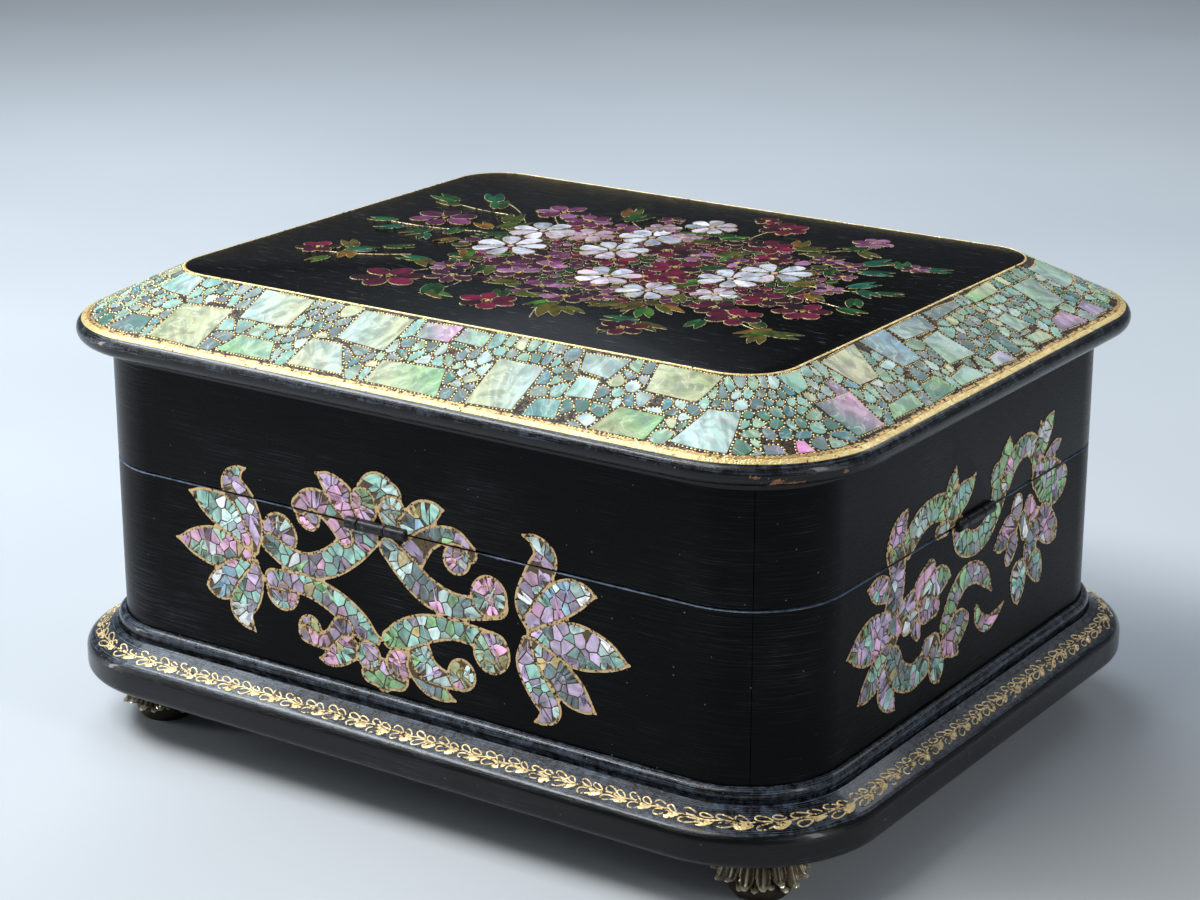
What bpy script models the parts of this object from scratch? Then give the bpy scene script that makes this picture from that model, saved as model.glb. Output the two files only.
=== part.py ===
"""Papier-mache jewelry box on four cast brass feet, with a hinged lid.

Metres, +Z up. X runs along the long sides and the front faces -Y. The origin is on the
ground under the middle of the box.
"""
import math

import bmesh
import bpy
from mathutils import Matrix, Vector

MM = 0.001

# Box walls
WALL_LENGTH = 272 * MM
WALL_WIDTH = 222 * MM
CORNER_RADIUS = 31.5 * MM
WALL_THICKNESS = 5.5 * MM
FLOOR_THICKNESS = 4 * MM
BODY_RISE = 54.1 * MM
LID_WALL_HEIGHT = 36.3 * MM
EDGE_ROUND = 0.5 * MM

# Plinth
PLINTH_HEIGHT = 20.3 * MM
PLINTH_OUTSET = 14 * MM
PLINTH_BOARD = 5 * MM
PLINTH_UNDER_ROUND = 2.6 * MM
PLINTH_EDGE_RADIUS = 4.6 * MM
PLINTH_EDGE_DROP = 13.1 * MM
SHELF_SLOPE = math.radians(28)
BEAD_RADIUS = 2.3 * MM
BEAD_OUTSET = 0.5 * MM
GROOVE_OUTSET = 1.9 * MM
GROOVE_WIDTH = 1.4 * MM
GROOVE_DEPTH = 0.9 * MM
BEAD_START = -50

# Lid top
LID_OVERHANG = 11.5 * MM
NOSE_RADIUS = 3.5 * MM
COVE_RADIUS = 2.6 * MM
FILLET_OUTSET = 2 * MM
FILLET_HEIGHT = 0.9 * MM
BEVEL_RUN = 31.3 * MM
BEVEL_ANGLE = math.radians(26.8)
PANEL_RADIUS = 17 * MM
LID_BOARD = 5.5 * MM

# Feet
FOOT_HEIGHT = 18.7 * MM
FOOT_RADIUS = 15 * MM
FOOT_INSET = 17.5 * MM
FOOT_LEAVES = 16
FOOT_DIVISIONS = 4

# Barrels of the hinges and catches, and the leaves let into the edges
BARREL_RADIUS = 2 * MM
BARREL_OUTSET = 0.6 * MM
LEAF_THICKNESS = 0.9 * MM
LEAF_DEPTH = 3.5 * MM
PIN_RADIUS = 0.8 * MM
HINGE_LENGTH = 24 * MM
HINGE_KNUCKLE = 8.6 * MM
HINGE_SPACING = 150 * MM
CATCH_LENGTH = 23.5 * MM
CATCH_JOINTS = (0.21, 0.66)
CATCH_GROOVE = 0.4 * MM
FRONT_CATCH_PLACE = -10 * MM
SIDE_CATCH_PLACE = 2 * MM

CLEARANCE = 0.3 * MM
CORNER_STEPS = 8
ARC_STEPS = 4
UNDER_STEPS = 3
BEAD_STEPS = 5
NOSE_STEPS = 7
BARREL_SIDES = 16
CUT_MARGIN = 2 * MM
MERGE_DISTANCE = 0.01 * MM

# Heights that follow from the sizes above
PLINTH_BOTTOM = FOOT_HEIGHT + CLEARANCE
PLINTH_TOP = PLINTH_BOTTOM + PLINTH_HEIGHT
BODY_BOTTOM = PLINTH_BOTTOM + PLINTH_BOARD + CLEARANCE
SEAM_HEIGHT = PLINTH_TOP + BODY_RISE + CLEARANCE
BODY_TOP = SEAM_HEIGHT - CLEARANCE
LID_BOTTOM = SEAM_HEIGHT + CLEARANCE
LID_WALL_TOP = LID_BOTTOM + LID_WALL_HEIGHT
LID_TOP_BOTTOM = LID_WALL_TOP + CLEARANCE
NOSE_HEIGHT = LID_TOP_BOTTOM + FILLET_HEIGHT + COVE_RADIUS + NOSE_RADIUS
HALF_LENGTH = WALL_LENGTH / 2
HALF_WIDTH = WALL_WIDTH / 2


def clear_scene():
    for item in list(bpy.data.objects):
        bpy.data.objects.remove(item, do_unlink=True)


def new_collection(name):
    collection = bpy.data.collections.new(name)
    bpy.context.scene.collection.children.link(collection)
    return collection


def material(name, colour, roughness, metallic=0.0):
    finish = bpy.data.materials.new(name)
    finish.use_nodes = True
    shader = finish.node_tree.nodes["Principled BSDF"]
    shader.inputs["Base Color"].default_value = (*colour, 1.0)
    shader.inputs["Roughness"].default_value = roughness
    shader.inputs["Metallic"].default_value = metallic
    return finish


def new_object(name, mesh, collection, finish=None, smooth_angle=35):
    if smooth_angle:
        mesh.shade_smooth()
        mesh.set_sharp_from_angle(angle=math.radians(smooth_angle))
    item = bpy.data.objects.new(name, mesh)
    collection.objects.link(item)
    if finish:
        mesh.materials.append(finish)
    return item


def mesh_of(shape, name):
    """Turns a bmesh into a mesh whose faces point out."""
    bmesh.ops.recalc_face_normals(shape, faces=shape.faces)
    mesh = bpy.data.meshes.new(name)
    shape.to_mesh(mesh)
    shape.free()
    return mesh


def arc(centre, radius, start, end, steps=ARC_STEPS):
    """Points (outset, height) on an arc, its angles in degrees from straight outwards."""
    angles = [math.radians(start + (end - start) * step / steps) for step in range(steps + 1)]
    return [(centre[0] + radius * math.cos(a), centre[1] + radius * math.sin(a)) for a in angles]


def outline(outset, radius=None):
    """The rounded rectangle that lies outset from the wall's outer face, from above."""
    if radius is None:
        radius = CORNER_RADIUS + outset
    reach_x = HALF_LENGTH + outset - radius
    reach_y = HALF_WIDTH + outset - radius
    corners = (
        (reach_x, reach_y, 0),
        (-reach_x, reach_y, 90),
        (-reach_x, -reach_y, 180),
        (reach_x, -reach_y, 270),
    )
    points = []
    for x, y, turn in corners:
        for step in range(CORNER_STEPS + 1):
            angle = math.radians(turn + 90 * step / CORNER_STEPS)
            points.append((x + radius * math.cos(angle), y + radius * math.sin(angle)))
    return points


def lofted(name, sections, closed=False):
    """Skins unlike sections of as many points each, with flat ends or closed on itself."""
    shape = bmesh.new()
    loops = [[shape.verts.new(point) for point in section] for section in sections]
    pairs = list(zip(loops, loops[1:]))
    if closed:
        pairs.append((loops[-1], loops[0]))
    else:
        shape.faces.new(loops[0])
        shape.faces.new(loops[-1])
    for lower, upper in pairs:
        for here in range(len(lower)):
            after = (here + 1) % len(lower)
            shape.faces.new((lower[here], lower[after], upper[after], upper[here]))
    return mesh_of(shape, name)


def swept(name, profile, closed=False):
    """Carries a profile of (outset, height[, corner radius]) round the rounded rectangle."""
    sections = []
    for outset, height, *radius in profile:
        sections.append([(x, y, height) for x, y in outline(outset, *radius)])
    return lofted(name, sections, closed)


def plinth_profile():
    """From the underside, over the fascia, shelf, groove and bead, into the tray."""
    edge_centre = (PLINTH_OUTSET - PLINTH_EDGE_RADIUS, PLINTH_TOP - PLINTH_EDGE_DROP)
    slope_angle = 90 - math.degrees(SHELF_SLOPE)
    edge = arc(edge_centre, PLINTH_EDGE_RADIUS, 0, slope_angle)
    shelf_start = GROOVE_OUTSET + GROOVE_WIDTH
    shelf_height = edge[-1][1] + (edge[-1][0] - shelf_start) * math.tan(SHELF_SLOPE)
    under_centre = (PLINTH_OUTSET - PLINTH_UNDER_ROUND, PLINTH_BOTTOM + PLINTH_UNDER_ROUND)
    bead_centre = (BEAD_OUTSET, PLINTH_TOP - BEAD_RADIUS)
    bead = arc(bead_centre, BEAD_RADIUS, BEAD_START, 90, BEAD_STEPS)
    tray_height = PLINTH_BOTTOM + PLINTH_BOARD
    return [
        *arc(under_centre, PLINTH_UNDER_ROUND, -90, 0, UNDER_STEPS),
        *edge,
        (shelf_start, shelf_height),
        (GROOVE_OUTSET, shelf_height - GROOVE_DEPTH),
        *bead,
        (CLEARANCE, PLINTH_TOP),
        (CLEARANCE, tray_height),
    ]


def body_profile():
    """Up the outer face, over the rounded top edge and down inside to the floor."""
    inner = -WALL_THICKNESS
    return [
        (0, BODY_BOTTOM),
        (0, BODY_TOP - EDGE_ROUND),
        (-EDGE_ROUND, BODY_TOP),
        (inner + EDGE_ROUND, BODY_TOP),
        (inner, BODY_TOP - EDGE_ROUND),
        (inner, BODY_BOTTOM + FLOOR_THICKNESS),
    ]


def lid_frame_profile():
    inner = -WALL_THICKNESS
    return [
        (0, LID_BOTTOM + EDGE_ROUND),
        (0, LID_WALL_TOP),
        (inner, LID_WALL_TOP),
        (inner, LID_BOTTOM + EDGE_ROUND),
        (inner + EDGE_ROUND, LID_BOTTOM),
        (-EDGE_ROUND, LID_BOTTOM),
    ]


def lid_top_profile():
    """From the ceiling down inside, out under the rim, round the nose and up to the panel."""
    slope_angle = 90 - math.degrees(BEVEL_ANGLE)
    nose_centre = (LID_OVERHANG - NOSE_RADIUS, NOSE_HEIGHT)
    nose = arc(nose_centre, NOSE_RADIUS, -90, slope_angle, NOSE_STEPS)
    rim_out, rim_height = nose[-1]
    panel_out = rim_out - BEVEL_RUN
    panel_height = rim_height + BEVEL_RUN * math.tan(BEVEL_ANGLE)
    ceiling = panel_height - LID_BOARD
    board_drop = LID_BOARD / math.cos(BEVEL_ANGLE)
    inner = -WALL_THICKNESS
    inner_height = rim_height + (rim_out - inner) * math.tan(BEVEL_ANGLE) - board_drop
    ceiling_out = inner - (ceiling - inner_height) / math.tan(BEVEL_ANGLE)
    fillet_top = LID_TOP_BOTTOM + FILLET_HEIGHT
    cove_centre = (FILLET_OUTSET + COVE_RADIUS, fillet_top)
    return [
        (ceiling_out, ceiling, PANEL_RADIUS),
        (inner, inner_height),
        (inner, LID_TOP_BOTTOM),
        (FILLET_OUTSET, LID_TOP_BOTTOM),
        *arc(cove_centre, COVE_RADIUS, 180, 90),
        *nose,
        (panel_out, panel_height, PANEL_RADIUS),
    ]


def foot_mesh():
    """A bun of upright acanthus leaves over a second, lower tier that stands between them.

    Each level is (height share, radius share, leaf swell, tip drop, tier). The swell lifts a
    leaf's middle above the hollows beside it, and the drop lets the leaf's tip hang lower.
    """
    levels = (
        (1.00, 0.80, 0.04, 0.00, 0),
        (0.82, 0.90, 0.07, 0.00, 0),
        (0.54, 0.91, 0.09, 0.02, 0),
        (0.36, 0.84, 0.10, 0.09, 0),
        (0.34, 0.72, 0.05, 0.03, 0),
        (0.22, 0.70, 0.07, 0.05, 1),
        (0.06, 0.62, 0.02, 0.02, 1),
        (0.00, 0.54, 0.00, 0.00, 1),
    )
    sides = FOOT_LEAVES * FOOT_DIVISIONS
    sections = []
    for height, radius, swell, drop, tier in levels:
        section = []
        for side in range(sides):
            angle = math.tau * side / sides
            crest = 0.5 + 0.5 * math.cos(FOOT_LEAVES * angle + math.pi * tier)
            reach = FOOT_RADIUS * (radius + swell * crest)
            rise = FOOT_HEIGHT * (height - drop * crest)
            section.append((reach * math.cos(angle), reach * math.sin(angle), rise))
        sections.append(section)
    return lofted("acanthus_foot", sections)


def box_mesh(name, low, high):
    shape = bmesh.new()
    bmesh.ops.create_cube(shape, size=1)
    size = Vector(high) - Vector(low)
    middle = (Vector(high) + Vector(low)) / 2
    place = Matrix.Translation(middle) @ Matrix.Diagonal((*size, 1))
    bmesh.ops.transform(shape, matrix=place, verts=shape.verts)
    return mesh_of(shape, name)


def rod_mesh(name, radius, length):
    """A cylinder along X, centred on the origin."""
    shape = bmesh.new()
    turn = Matrix.Rotation(math.radians(90), 4, "Y")
    bmesh.ops.create_cone(
        shape,
        cap_ends=True,
        segments=BARREL_SIDES,
        radius1=radius,
        radius2=radius,
        depth=length,
        matrix=turn,
    )
    return mesh_of(shape, name)


def add_boolean(item, cutter, operation):
    modifier = item.modifiers.new(cutter.name, "BOOLEAN")
    modifier.object = cutter
    modifier.operation = operation


class Barrel:
    """The frame of a barrel: an empty on its axis, with X along it and -Y into the wall."""

    def __init__(self, name, place, turn, parts, cutters):
        self.name = name
        self.parts = parts
        self.cutters = cutters
        self.empty = bpy.data.objects.new(name + "_axis", None)
        self.empty.location = place
        self.empty.rotation_euler = (0, 0, math.radians(turn))
        parts.objects.link(self.empty)

    def part(self, name, mesh, finish):
        item = new_object(name, mesh, self.parts, finish)
        item.parent = self.empty
        return item

    def cutter(self, name, mesh):
        item = new_object(f"{self.name}_{name}", mesh, self.cutters, smooth_angle=None)
        item.parent = self.empty
        item.hide_render = True
        item.display_type = "WIRE"
        return item

    def leaf_box(self, name, length, side, gap=0.0):
        """The leaf's plate beside the seam, below it for side -1 and above it for side 1."""
        near = CLEARANCE - gap
        far = CLEARANCE + LEAF_THICKNESS + gap
        low, high = sorted((side * near, side * far))
        depth = BARREL_OUTSET + LEAF_DEPTH
        reach = length / 2 + gap
        return box_mesh(name, (-reach, -depth - gap, low), (reach, 0, high))

    def cut_edges(self, length, body, lid, with_lid_leaf):
        """Lets the barrel and its leaves into the edges of the body and the lid."""
        reach = length + 2 * CLEARANCE
        bed = self.cutter("bed", rod_mesh("bed", BARREL_RADIUS + CLEARANCE, reach))
        add_boolean(body, bed, "DIFFERENCE")
        add_boolean(lid, bed, "DIFFERENCE")
        recesses = [(body, "body_recess", -1)]
        if with_lid_leaf:
            recesses.append((lid, "lid_recess", 1))
        for item, recess, side in recesses:
            space = self.leaf_box(recess, length, side, CLEARANCE)
            add_boolean(item, self.cutter(recess, space), "DIFFERENCE")


def add_hinge(name, place, parts, cutters, finish, body, lid):
    """A butt hinge whose body leaf has the outer knuckles and whose lid leaf has the middle one."""
    frame = Barrel(name, place, 0, parts, cutters)
    bore = frame.cutter("bore", rod_mesh("bore", PIN_RADIUS + CLEARANCE, HINGE_LENGTH + CUT_MARGIN))
    clear_radius = BARREL_RADIUS + CLEARANCE
    half_middle = HINGE_KNUCKLE / 2
    beyond = HINGE_LENGTH / 2 + CUT_MARGIN
    middle = (-half_middle - CLEARANCE, half_middle + CLEARANCE)
    left_end = (-beyond, -half_middle)
    right_end = (half_middle, beyond)
    leaves = (("body_leaf", -1, (middle,)), ("lid_leaf", 1, (left_end, right_end)))
    for leaf, side, spaces in leaves:
        item = frame.part(f"{name}_{leaf}", rod_mesh(leaf, BARREL_RADIUS, HINGE_LENGTH), finish)
        plate = frame.cutter(leaf + "_plate", frame.leaf_box(leaf + "_plate", HINGE_LENGTH, side))
        add_boolean(item, plate, "UNION")
        for number, (start, end) in enumerate(spaces):
            low = (start, -clear_radius, -clear_radius)
            high = (end, clear_radius, clear_radius)
            space = frame.cutter(f"{leaf}_space_{number}", box_mesh("space", low, high))
            add_boolean(item, space, "DIFFERENCE")
        add_boolean(item, bore, "DIFFERENCE")
    frame.part(name + "_pin", rod_mesh("pin", PIN_RADIUS, HINGE_LENGTH), finish)
    frame.cut_edges(HINGE_LENGTH, body, lid, with_lid_leaf=True)


def add_catch(name, place, turn, parts, cutters, finish, body, lid):
    """A barrel with two turned joints and a plate let into the body's edge."""
    frame = Barrel(name, place, turn, parts, cutters)
    half = CATCH_LENGTH / 2
    stations = [(-half, 0), (-half, BARREL_RADIUS)]
    for share in CATCH_JOINTS:
        joint = -half + share * CATCH_LENGTH
        stations += [(joint - CATCH_GROOVE, BARREL_RADIUS), (joint, BARREL_RADIUS - CATCH_GROOVE)]
        stations.append((joint + CATCH_GROOVE, BARREL_RADIUS))
    stations += [(half, BARREL_RADIUS), (half, 0)]
    shape = bmesh.new()
    points = [shape.verts.new((x, radius, 0)) for x, radius in stations]
    edges = [shape.edges.new(pair) for pair in zip(points, points[1:])]
    bmesh.ops.spin(
        shape,
        geom=points + edges,
        cent=(0, 0, 0),
        axis=(1, 0, 0),
        angle=math.tau,
        steps=BARREL_SIDES,
    )
    bmesh.ops.remove_doubles(shape, verts=shape.verts, dist=MERGE_DISTANCE)
    item = frame.part(name, mesh_of(shape, name), finish)
    plate = frame.cutter("plate", frame.leaf_box("plate", CATCH_LENGTH, -1))
    add_boolean(item, plate, "UNION")
    frame.cut_edges(CATCH_LENGTH, body, lid, with_lid_leaf=False)


def add_feet(parts, brass):
    mesh = foot_mesh()
    reach_x = HALF_LENGTH - FOOT_INSET
    reach_y = HALF_WIDTH - FOOT_INSET
    for front_back, y in (("front", -reach_y), ("back", reach_y)):
        for left_right, x in (("left", -reach_x), ("right", reach_x)):
            foot = new_object(f"foot_{front_back}_{left_right}", mesh, parts)
            foot.location = (x, y, 0)
    mesh.materials.append(brass)


def main():
    clear_scene()
    parts = new_collection("jewelry_box")
    cutters = new_collection("cutters")
    lacquer = material("black_lacquer", (0.012, 0.011, 0.011), 0.35)
    shell = material("shell_and_gilding", (0.38, 0.46, 0.38), 0.3)
    brass = material("antique_brass", (0.32, 0.24, 0.14), 0.45, 1.0)
    iron = material("blackened_iron", (0.02, 0.02, 0.022), 0.4, 1.0)

    new_object("plinth", swept("plinth", plinth_profile()), parts, lacquer)
    body = new_object("box_body", swept("box_body", body_profile()), parts, lacquer)
    lid = new_object("lid_frame", swept("lid_frame", lid_frame_profile(), closed=True), parts, lacquer)
    new_object("lid_top", swept("lid_top", lid_top_profile()), parts, shell)
    add_feet(parts, brass)

    edge_y = HALF_WIDTH + BARREL_OUTSET
    edge_x = HALF_LENGTH + BARREL_OUTSET
    for name, x in (("hinge_left", -HINGE_SPACING / 2), ("hinge_right", HINGE_SPACING / 2)):
        add_hinge(name, (x, edge_y, SEAM_HEIGHT), parts, cutters, iron, body, lid)
    for name, place, turn in (
        ("catch_front", (FRONT_CATCH_PLACE, -edge_y, SEAM_HEIGHT), 180),
        ("catch_right", (edge_x, SIDE_CATCH_PLACE, SEAM_HEIGHT), -90),
        ("catch_left", (-edge_x, SIDE_CATCH_PLACE, SEAM_HEIGHT), 90),
    ):
        add_catch(name, place, turn, parts, cutters, iron, body, lid)


main()
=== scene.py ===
import math

import bpy
import numpy as np
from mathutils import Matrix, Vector


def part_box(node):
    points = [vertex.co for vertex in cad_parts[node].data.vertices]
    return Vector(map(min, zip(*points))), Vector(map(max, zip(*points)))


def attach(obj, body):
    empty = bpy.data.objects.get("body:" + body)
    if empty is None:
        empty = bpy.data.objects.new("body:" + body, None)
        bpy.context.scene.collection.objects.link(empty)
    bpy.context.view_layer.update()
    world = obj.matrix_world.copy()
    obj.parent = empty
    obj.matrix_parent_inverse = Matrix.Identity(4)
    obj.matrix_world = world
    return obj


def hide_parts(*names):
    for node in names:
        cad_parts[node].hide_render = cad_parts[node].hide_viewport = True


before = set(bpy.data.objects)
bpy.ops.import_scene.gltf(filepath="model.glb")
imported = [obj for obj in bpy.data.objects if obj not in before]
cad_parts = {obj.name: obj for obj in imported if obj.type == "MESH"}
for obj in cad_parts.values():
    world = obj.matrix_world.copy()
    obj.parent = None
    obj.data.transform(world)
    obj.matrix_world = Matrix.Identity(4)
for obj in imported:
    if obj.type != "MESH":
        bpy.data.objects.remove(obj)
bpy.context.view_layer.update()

bl_info = {
    "name": "Papier-mache Jewelry Box Dressing",
    "version": (1, 0, 0),
    "blender": (4, 5, 0),
    "location": "3D View > Sidebar > Jewelry Box",
    "description": "Lacquer, mother-of-pearl mosaic, gilding and cast feet round the box's solids",
    "category": "Object",
}

MM = 0.001
FAR = 1000.0


def corners(node):
    """The lowest and the highest corner of one of the frame's nodes, in millimetres."""
    low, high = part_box(node)
    return np.array(low) / MM, np.array(high) / MM


PLINTH_LOW, PLINTH_HIGH = corners("plinth")
BODY_LOW, BODY_HIGH = corners("box_body")
LID_LOW, LID_HIGH = corners("lid_frame")
TOP_LOW, TOP_HIGH = corners("lid_top")
HALF_X, HALF_Y = BODY_HIGH[0], BODY_HIGH[1]
SEAM = (BODY_HIGH[2] + LID_LOW[2]) / 2
SEAM_GAP = LID_LOW[2] - SEAM

# Walls
CORNER = 31.5
WALL = 5.5
FLOOR = 4.0
EDGE_ROUND = 0.5
FIT_GAP = 0.3

# Plinth mouldings
PLINTH_OUTSET = PLINTH_HIGH[0] - HALF_X
PLINTH_BOARD = 5.0
UNDER_ROUND = 2.6
EDGE_RADIUS = 4.6
EDGE_DROP = 13.1
SHELF_SLOPE = math.radians(28)
BEAD_RADIUS = 2.3
BEAD_OUTSET = 0.5
GROOVE_OUTSET = 1.9
GROOVE_WIDTH = 1.4
GROOVE_DEPTH = 0.9

# Lid top
OVERHANG = TOP_HIGH[0] - HALF_X
NOSE_RADIUS = 3.5
COVE_RADIUS = 2.6
FILLET_OUTSET = 2.0
FILLET_HEIGHT = 0.9
BEVEL_RUN = 31.3
BEVEL = math.radians(26.8)
PANEL_RADIUS = 17.0
LID_BOARD = 5.5
NOSE_HEIGHT = TOP_LOW[2] + FILLET_HEIGHT + COVE_RADIUS + NOSE_RADIUS
RIM_OUT = OVERHANG - NOSE_RADIUS + NOSE_RADIUS * math.sin(BEVEL)
RIM_HEIGHT = NOSE_HEIGHT + NOSE_RADIUS * math.cos(BEVEL)
PANEL_OUT = RIM_OUT - BEVEL_RUN
PANEL_HEIGHT = TOP_HIGH[2]
BEVEL_WIDTH = BEVEL_RUN / math.cos(BEVEL)

# Barrels in the seam
BARREL_RADIUS = 2.0
CATCHES = ("catch_front", "catch_right", "catch_left")
HINGES = ("hinge_left", "hinge_right")
LEAF_THICKNESS = 0.9
CATCH_JOINTS = (0.21, 0.66)

# Fineness of the swept pieces
CORNER_STEPS = 26
STRAIGHT_STEP = 35.0
ARC_STEPS = 10
# Edges between faces that meet at more than this many degrees are drawn sharp
SHARP_ANGLE = 35

# Places on the box

QUARTER = math.pi / 2 * CORNER
LONG_HALF = HALF_X - CORNER
SHORT_SIDE = 2 * (HALF_Y - CORNER)
KNOTS = np.cumsum(
    [0, LONG_HALF, QUARTER, SHORT_SIDE, QUARTER, 2 * LONG_HALF, QUARTER, SHORT_SIDE, QUARTER, LONG_HALF]
)
ROUND = KNOTS[-1]
SIDE_X = np.array([0, 1, 1, 1, 1, -1, -1, -1, -1, 0])
SIDE_Y = np.array([-1, -1, -1, 1, 1, 1, 1, -1, -1, -1])
FACING = np.radians([-90, -90, 0, 0, 90, 90, 180, 180, 270, 270])


def rounded(p, outset, radius=None):
    """Rounded rectangle from above: corner centre plus radius along the outward direction.

    p runs along the wall's own outline from the middle of the front towards +X and round the box. An
    outline with another outset or radius is stretched to match it, side by side and corner by corner.
    """
    p = np.mod(p, ROUND)
    radius = CORNER + outset if radius is None else radius
    turn = np.interp(p, KNOTS, FACING)
    x = np.interp(p, KNOTS, SIDE_X) * (HALF_X + outset - radius) + radius * np.cos(turn)
    y = np.interp(p, KNOTS, SIDE_Y) * (HALF_Y + outset - radius) + radius * np.sin(turn)
    return x, y


def tilted(p, x, y, z, lift, slope):
    """Lifts points off a surface that falls outwards by the angle slope."""
    turn = np.interp(np.mod(p, ROUND), KNOTS, FACING)
    out = lift * math.sin(slope)
    return np.stack([x + out * np.cos(turn), y + out * np.sin(turn), z + lift * math.cos(slope)], -1)


def on_bevel(p, v, lift):
    """The lid's sloping border: straight from the rim, v = 0, to the panel, v = BEVEL_WIDTH."""
    share = v / BEVEL_WIDTH
    outer_x, outer_y = rounded(p, RIM_OUT)
    inner_x, inner_y = rounded(p, PANEL_OUT, PANEL_RADIUS)
    x = outer_x + (inner_x - outer_x) * share
    y = outer_y + (inner_y - outer_y) * share
    z = RIM_HEIGHT + (PANEL_HEIGHT - RIM_HEIGHT) * share
    return tilted(p, x, y, z, lift, BEVEL)


def on_shelf(p, v, lift):
    """The plinth's sloping shelf: v runs up it from its rounded outer edge."""
    outset = PLINTH_OUTSET - EDGE_RADIUS + EDGE_RADIUS * math.sin(SHELF_SLOPE) - v * math.cos(SHELF_SLOPE)
    x, y = rounded(p, outset)
    low = PLINTH_HIGH[2] - EDGE_DROP + EDGE_RADIUS * math.cos(SHELF_SLOPE)
    return tilted(p, x, y, low + v * math.sin(SHELF_SLOPE), lift, SHELF_SLOPE)


def on_panel(x, y, lift):
    """The lid's flat panel."""
    return np.stack([x, y, PANEL_HEIGHT + lift + 0 * x], -1)


def on_wall(turn):
    """A flat wall seen from outside, u to the right and v up: the front's for 0, the right's for 90."""
    away = HALF_Y if turn % 180 == 0 else HALF_X
    cosine, sine = math.cos(math.radians(turn)), math.sin(math.radians(turn))

    def place(u, v, lift):
        out = away + lift
        return np.stack([u * cosine + out * sine, u * sine - out * cosine, v + 0 * u], -1)

    return place


# Meshes


def grid_faces(rows, columns, wrap_rows=False, wrap_columns=True):
    """Quads between the points of a grid, facing the side from which columns run to the right, rows up."""
    row = np.arange(rows if wrap_rows else rows - 1)[:, None]
    column = np.arange(columns if wrap_columns else columns - 1)[None, :]
    above = (row + 1) % rows
    after = (column + 1) % columns
    quads = (
        row * columns + column, row * columns + after, above * columns + after, above * columns + column,
    )
    return np.stack(np.broadcast_arrays(*quads), -1).reshape(-1, 4)


def repeated(faces, copies, stride):
    """The faces of one item, repeated for copies whose points follow each other by stride."""
    return (np.arange(copies)[:, None, None] * stride + faces[None]).reshape(-1, faces.shape[1])


def add_piece(
    name, points, faces, finishes, body, replaces=(), lay=None, attributes=None, zones=None,
    sharp=SHARP_ANGLE,
):
    """Makes a piece from points in millimetres and a list of face arrays, and lets it ride on a body.

    lay is a flat place for each point, kept as a UV map in metres; faces of many sides lie flat as they
    are. zones picks a finish for each face.
    """
    mesh = bpy.data.meshes.new(name)
    polygons = [face for group in faces for face in np.asarray(group).tolist()]
    mesh.from_pydata((points * MM).tolist(), [], polygons)
    for finish in finishes:
        mesh.materials.append(finish)
    if zones is not None:
        mesh.polygons.foreach_set("material_index", np.asarray(zones, np.int32))
    for key, (kind, field, values) in (attributes or {}).items():
        layer = mesh.attributes.new(key, kind, "POINT")
        layer.data.foreach_set(field, np.asarray(values, np.float32).ravel())
    if lay is not None:
        spots = []
        for group in map(np.asarray, faces):
            flat = group.shape[1] > 4
            spot = points[group][..., :2].copy() if flat else lay[group].copy()
            late = spot[..., 0].max(axis=1, keepdims=True) - spot[..., 0] > ROUND / 2
            spot[..., 0] += ROUND * late * (not flat)
            spots.append(spot.reshape(-1, 2))
        layer = mesh.uv_layers.new(name="lay")
        layer.data.foreach_set("uv", (np.concatenate(spots) * MM).astype(np.float32).ravel())
    mesh.shade_smooth()
    if sharp:
        mesh.set_sharp_from_angle(angle=math.radians(sharp))
    item = bpy.data.objects.new(name, mesh)
    bpy.context.scene.collection.objects.link(item)
    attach(item, body)
    if replaces:
        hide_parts(*replaces)
    return item


def arc(centre, radius, start, end, steps=ARC_STEPS):
    """Points (outset, height) of an arc, its angles in degrees from straight outwards."""
    angle = np.radians(np.linspace(start, end, steps + 1))
    return [(centre[0] + radius * math.cos(a), centre[1] + radius * math.sin(a)) for a in angle]


# The fine upright joint in each corner
HAIRLINE_PLACE = 18.1
NEXT_CORNER = QUARTER + SHORT_SIDE
HAIRLINES = [
    LONG_HALF + HAIRLINE_PLACE + side for side in (0, NEXT_CORNER, ROUND / 2, ROUND / 2 + NEXT_CORNER)
]
HAIRLINE_HALF = 0.12
HAIRLINE_DEPTH = 0.16


def stations():
    """Places along the outline: close together in the corners, and beside each corner's fine joint."""
    stretches = []
    for start, end, turned in zip(KNOTS, KNOTS[1:], np.diff(FACING) > 0):
        steps = CORNER_STEPS if turned else math.ceil((end - start) / STRAIGHT_STEP)
        stretches.append(np.linspace(start, end, steps, endpoint=False))
    beside = np.add.outer(HAIRLINES, (-HAIRLINE_HALF, 0, HAIRLINE_HALF)).ravel()
    return np.sort(np.concatenate([*stretches, beside]))


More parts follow.
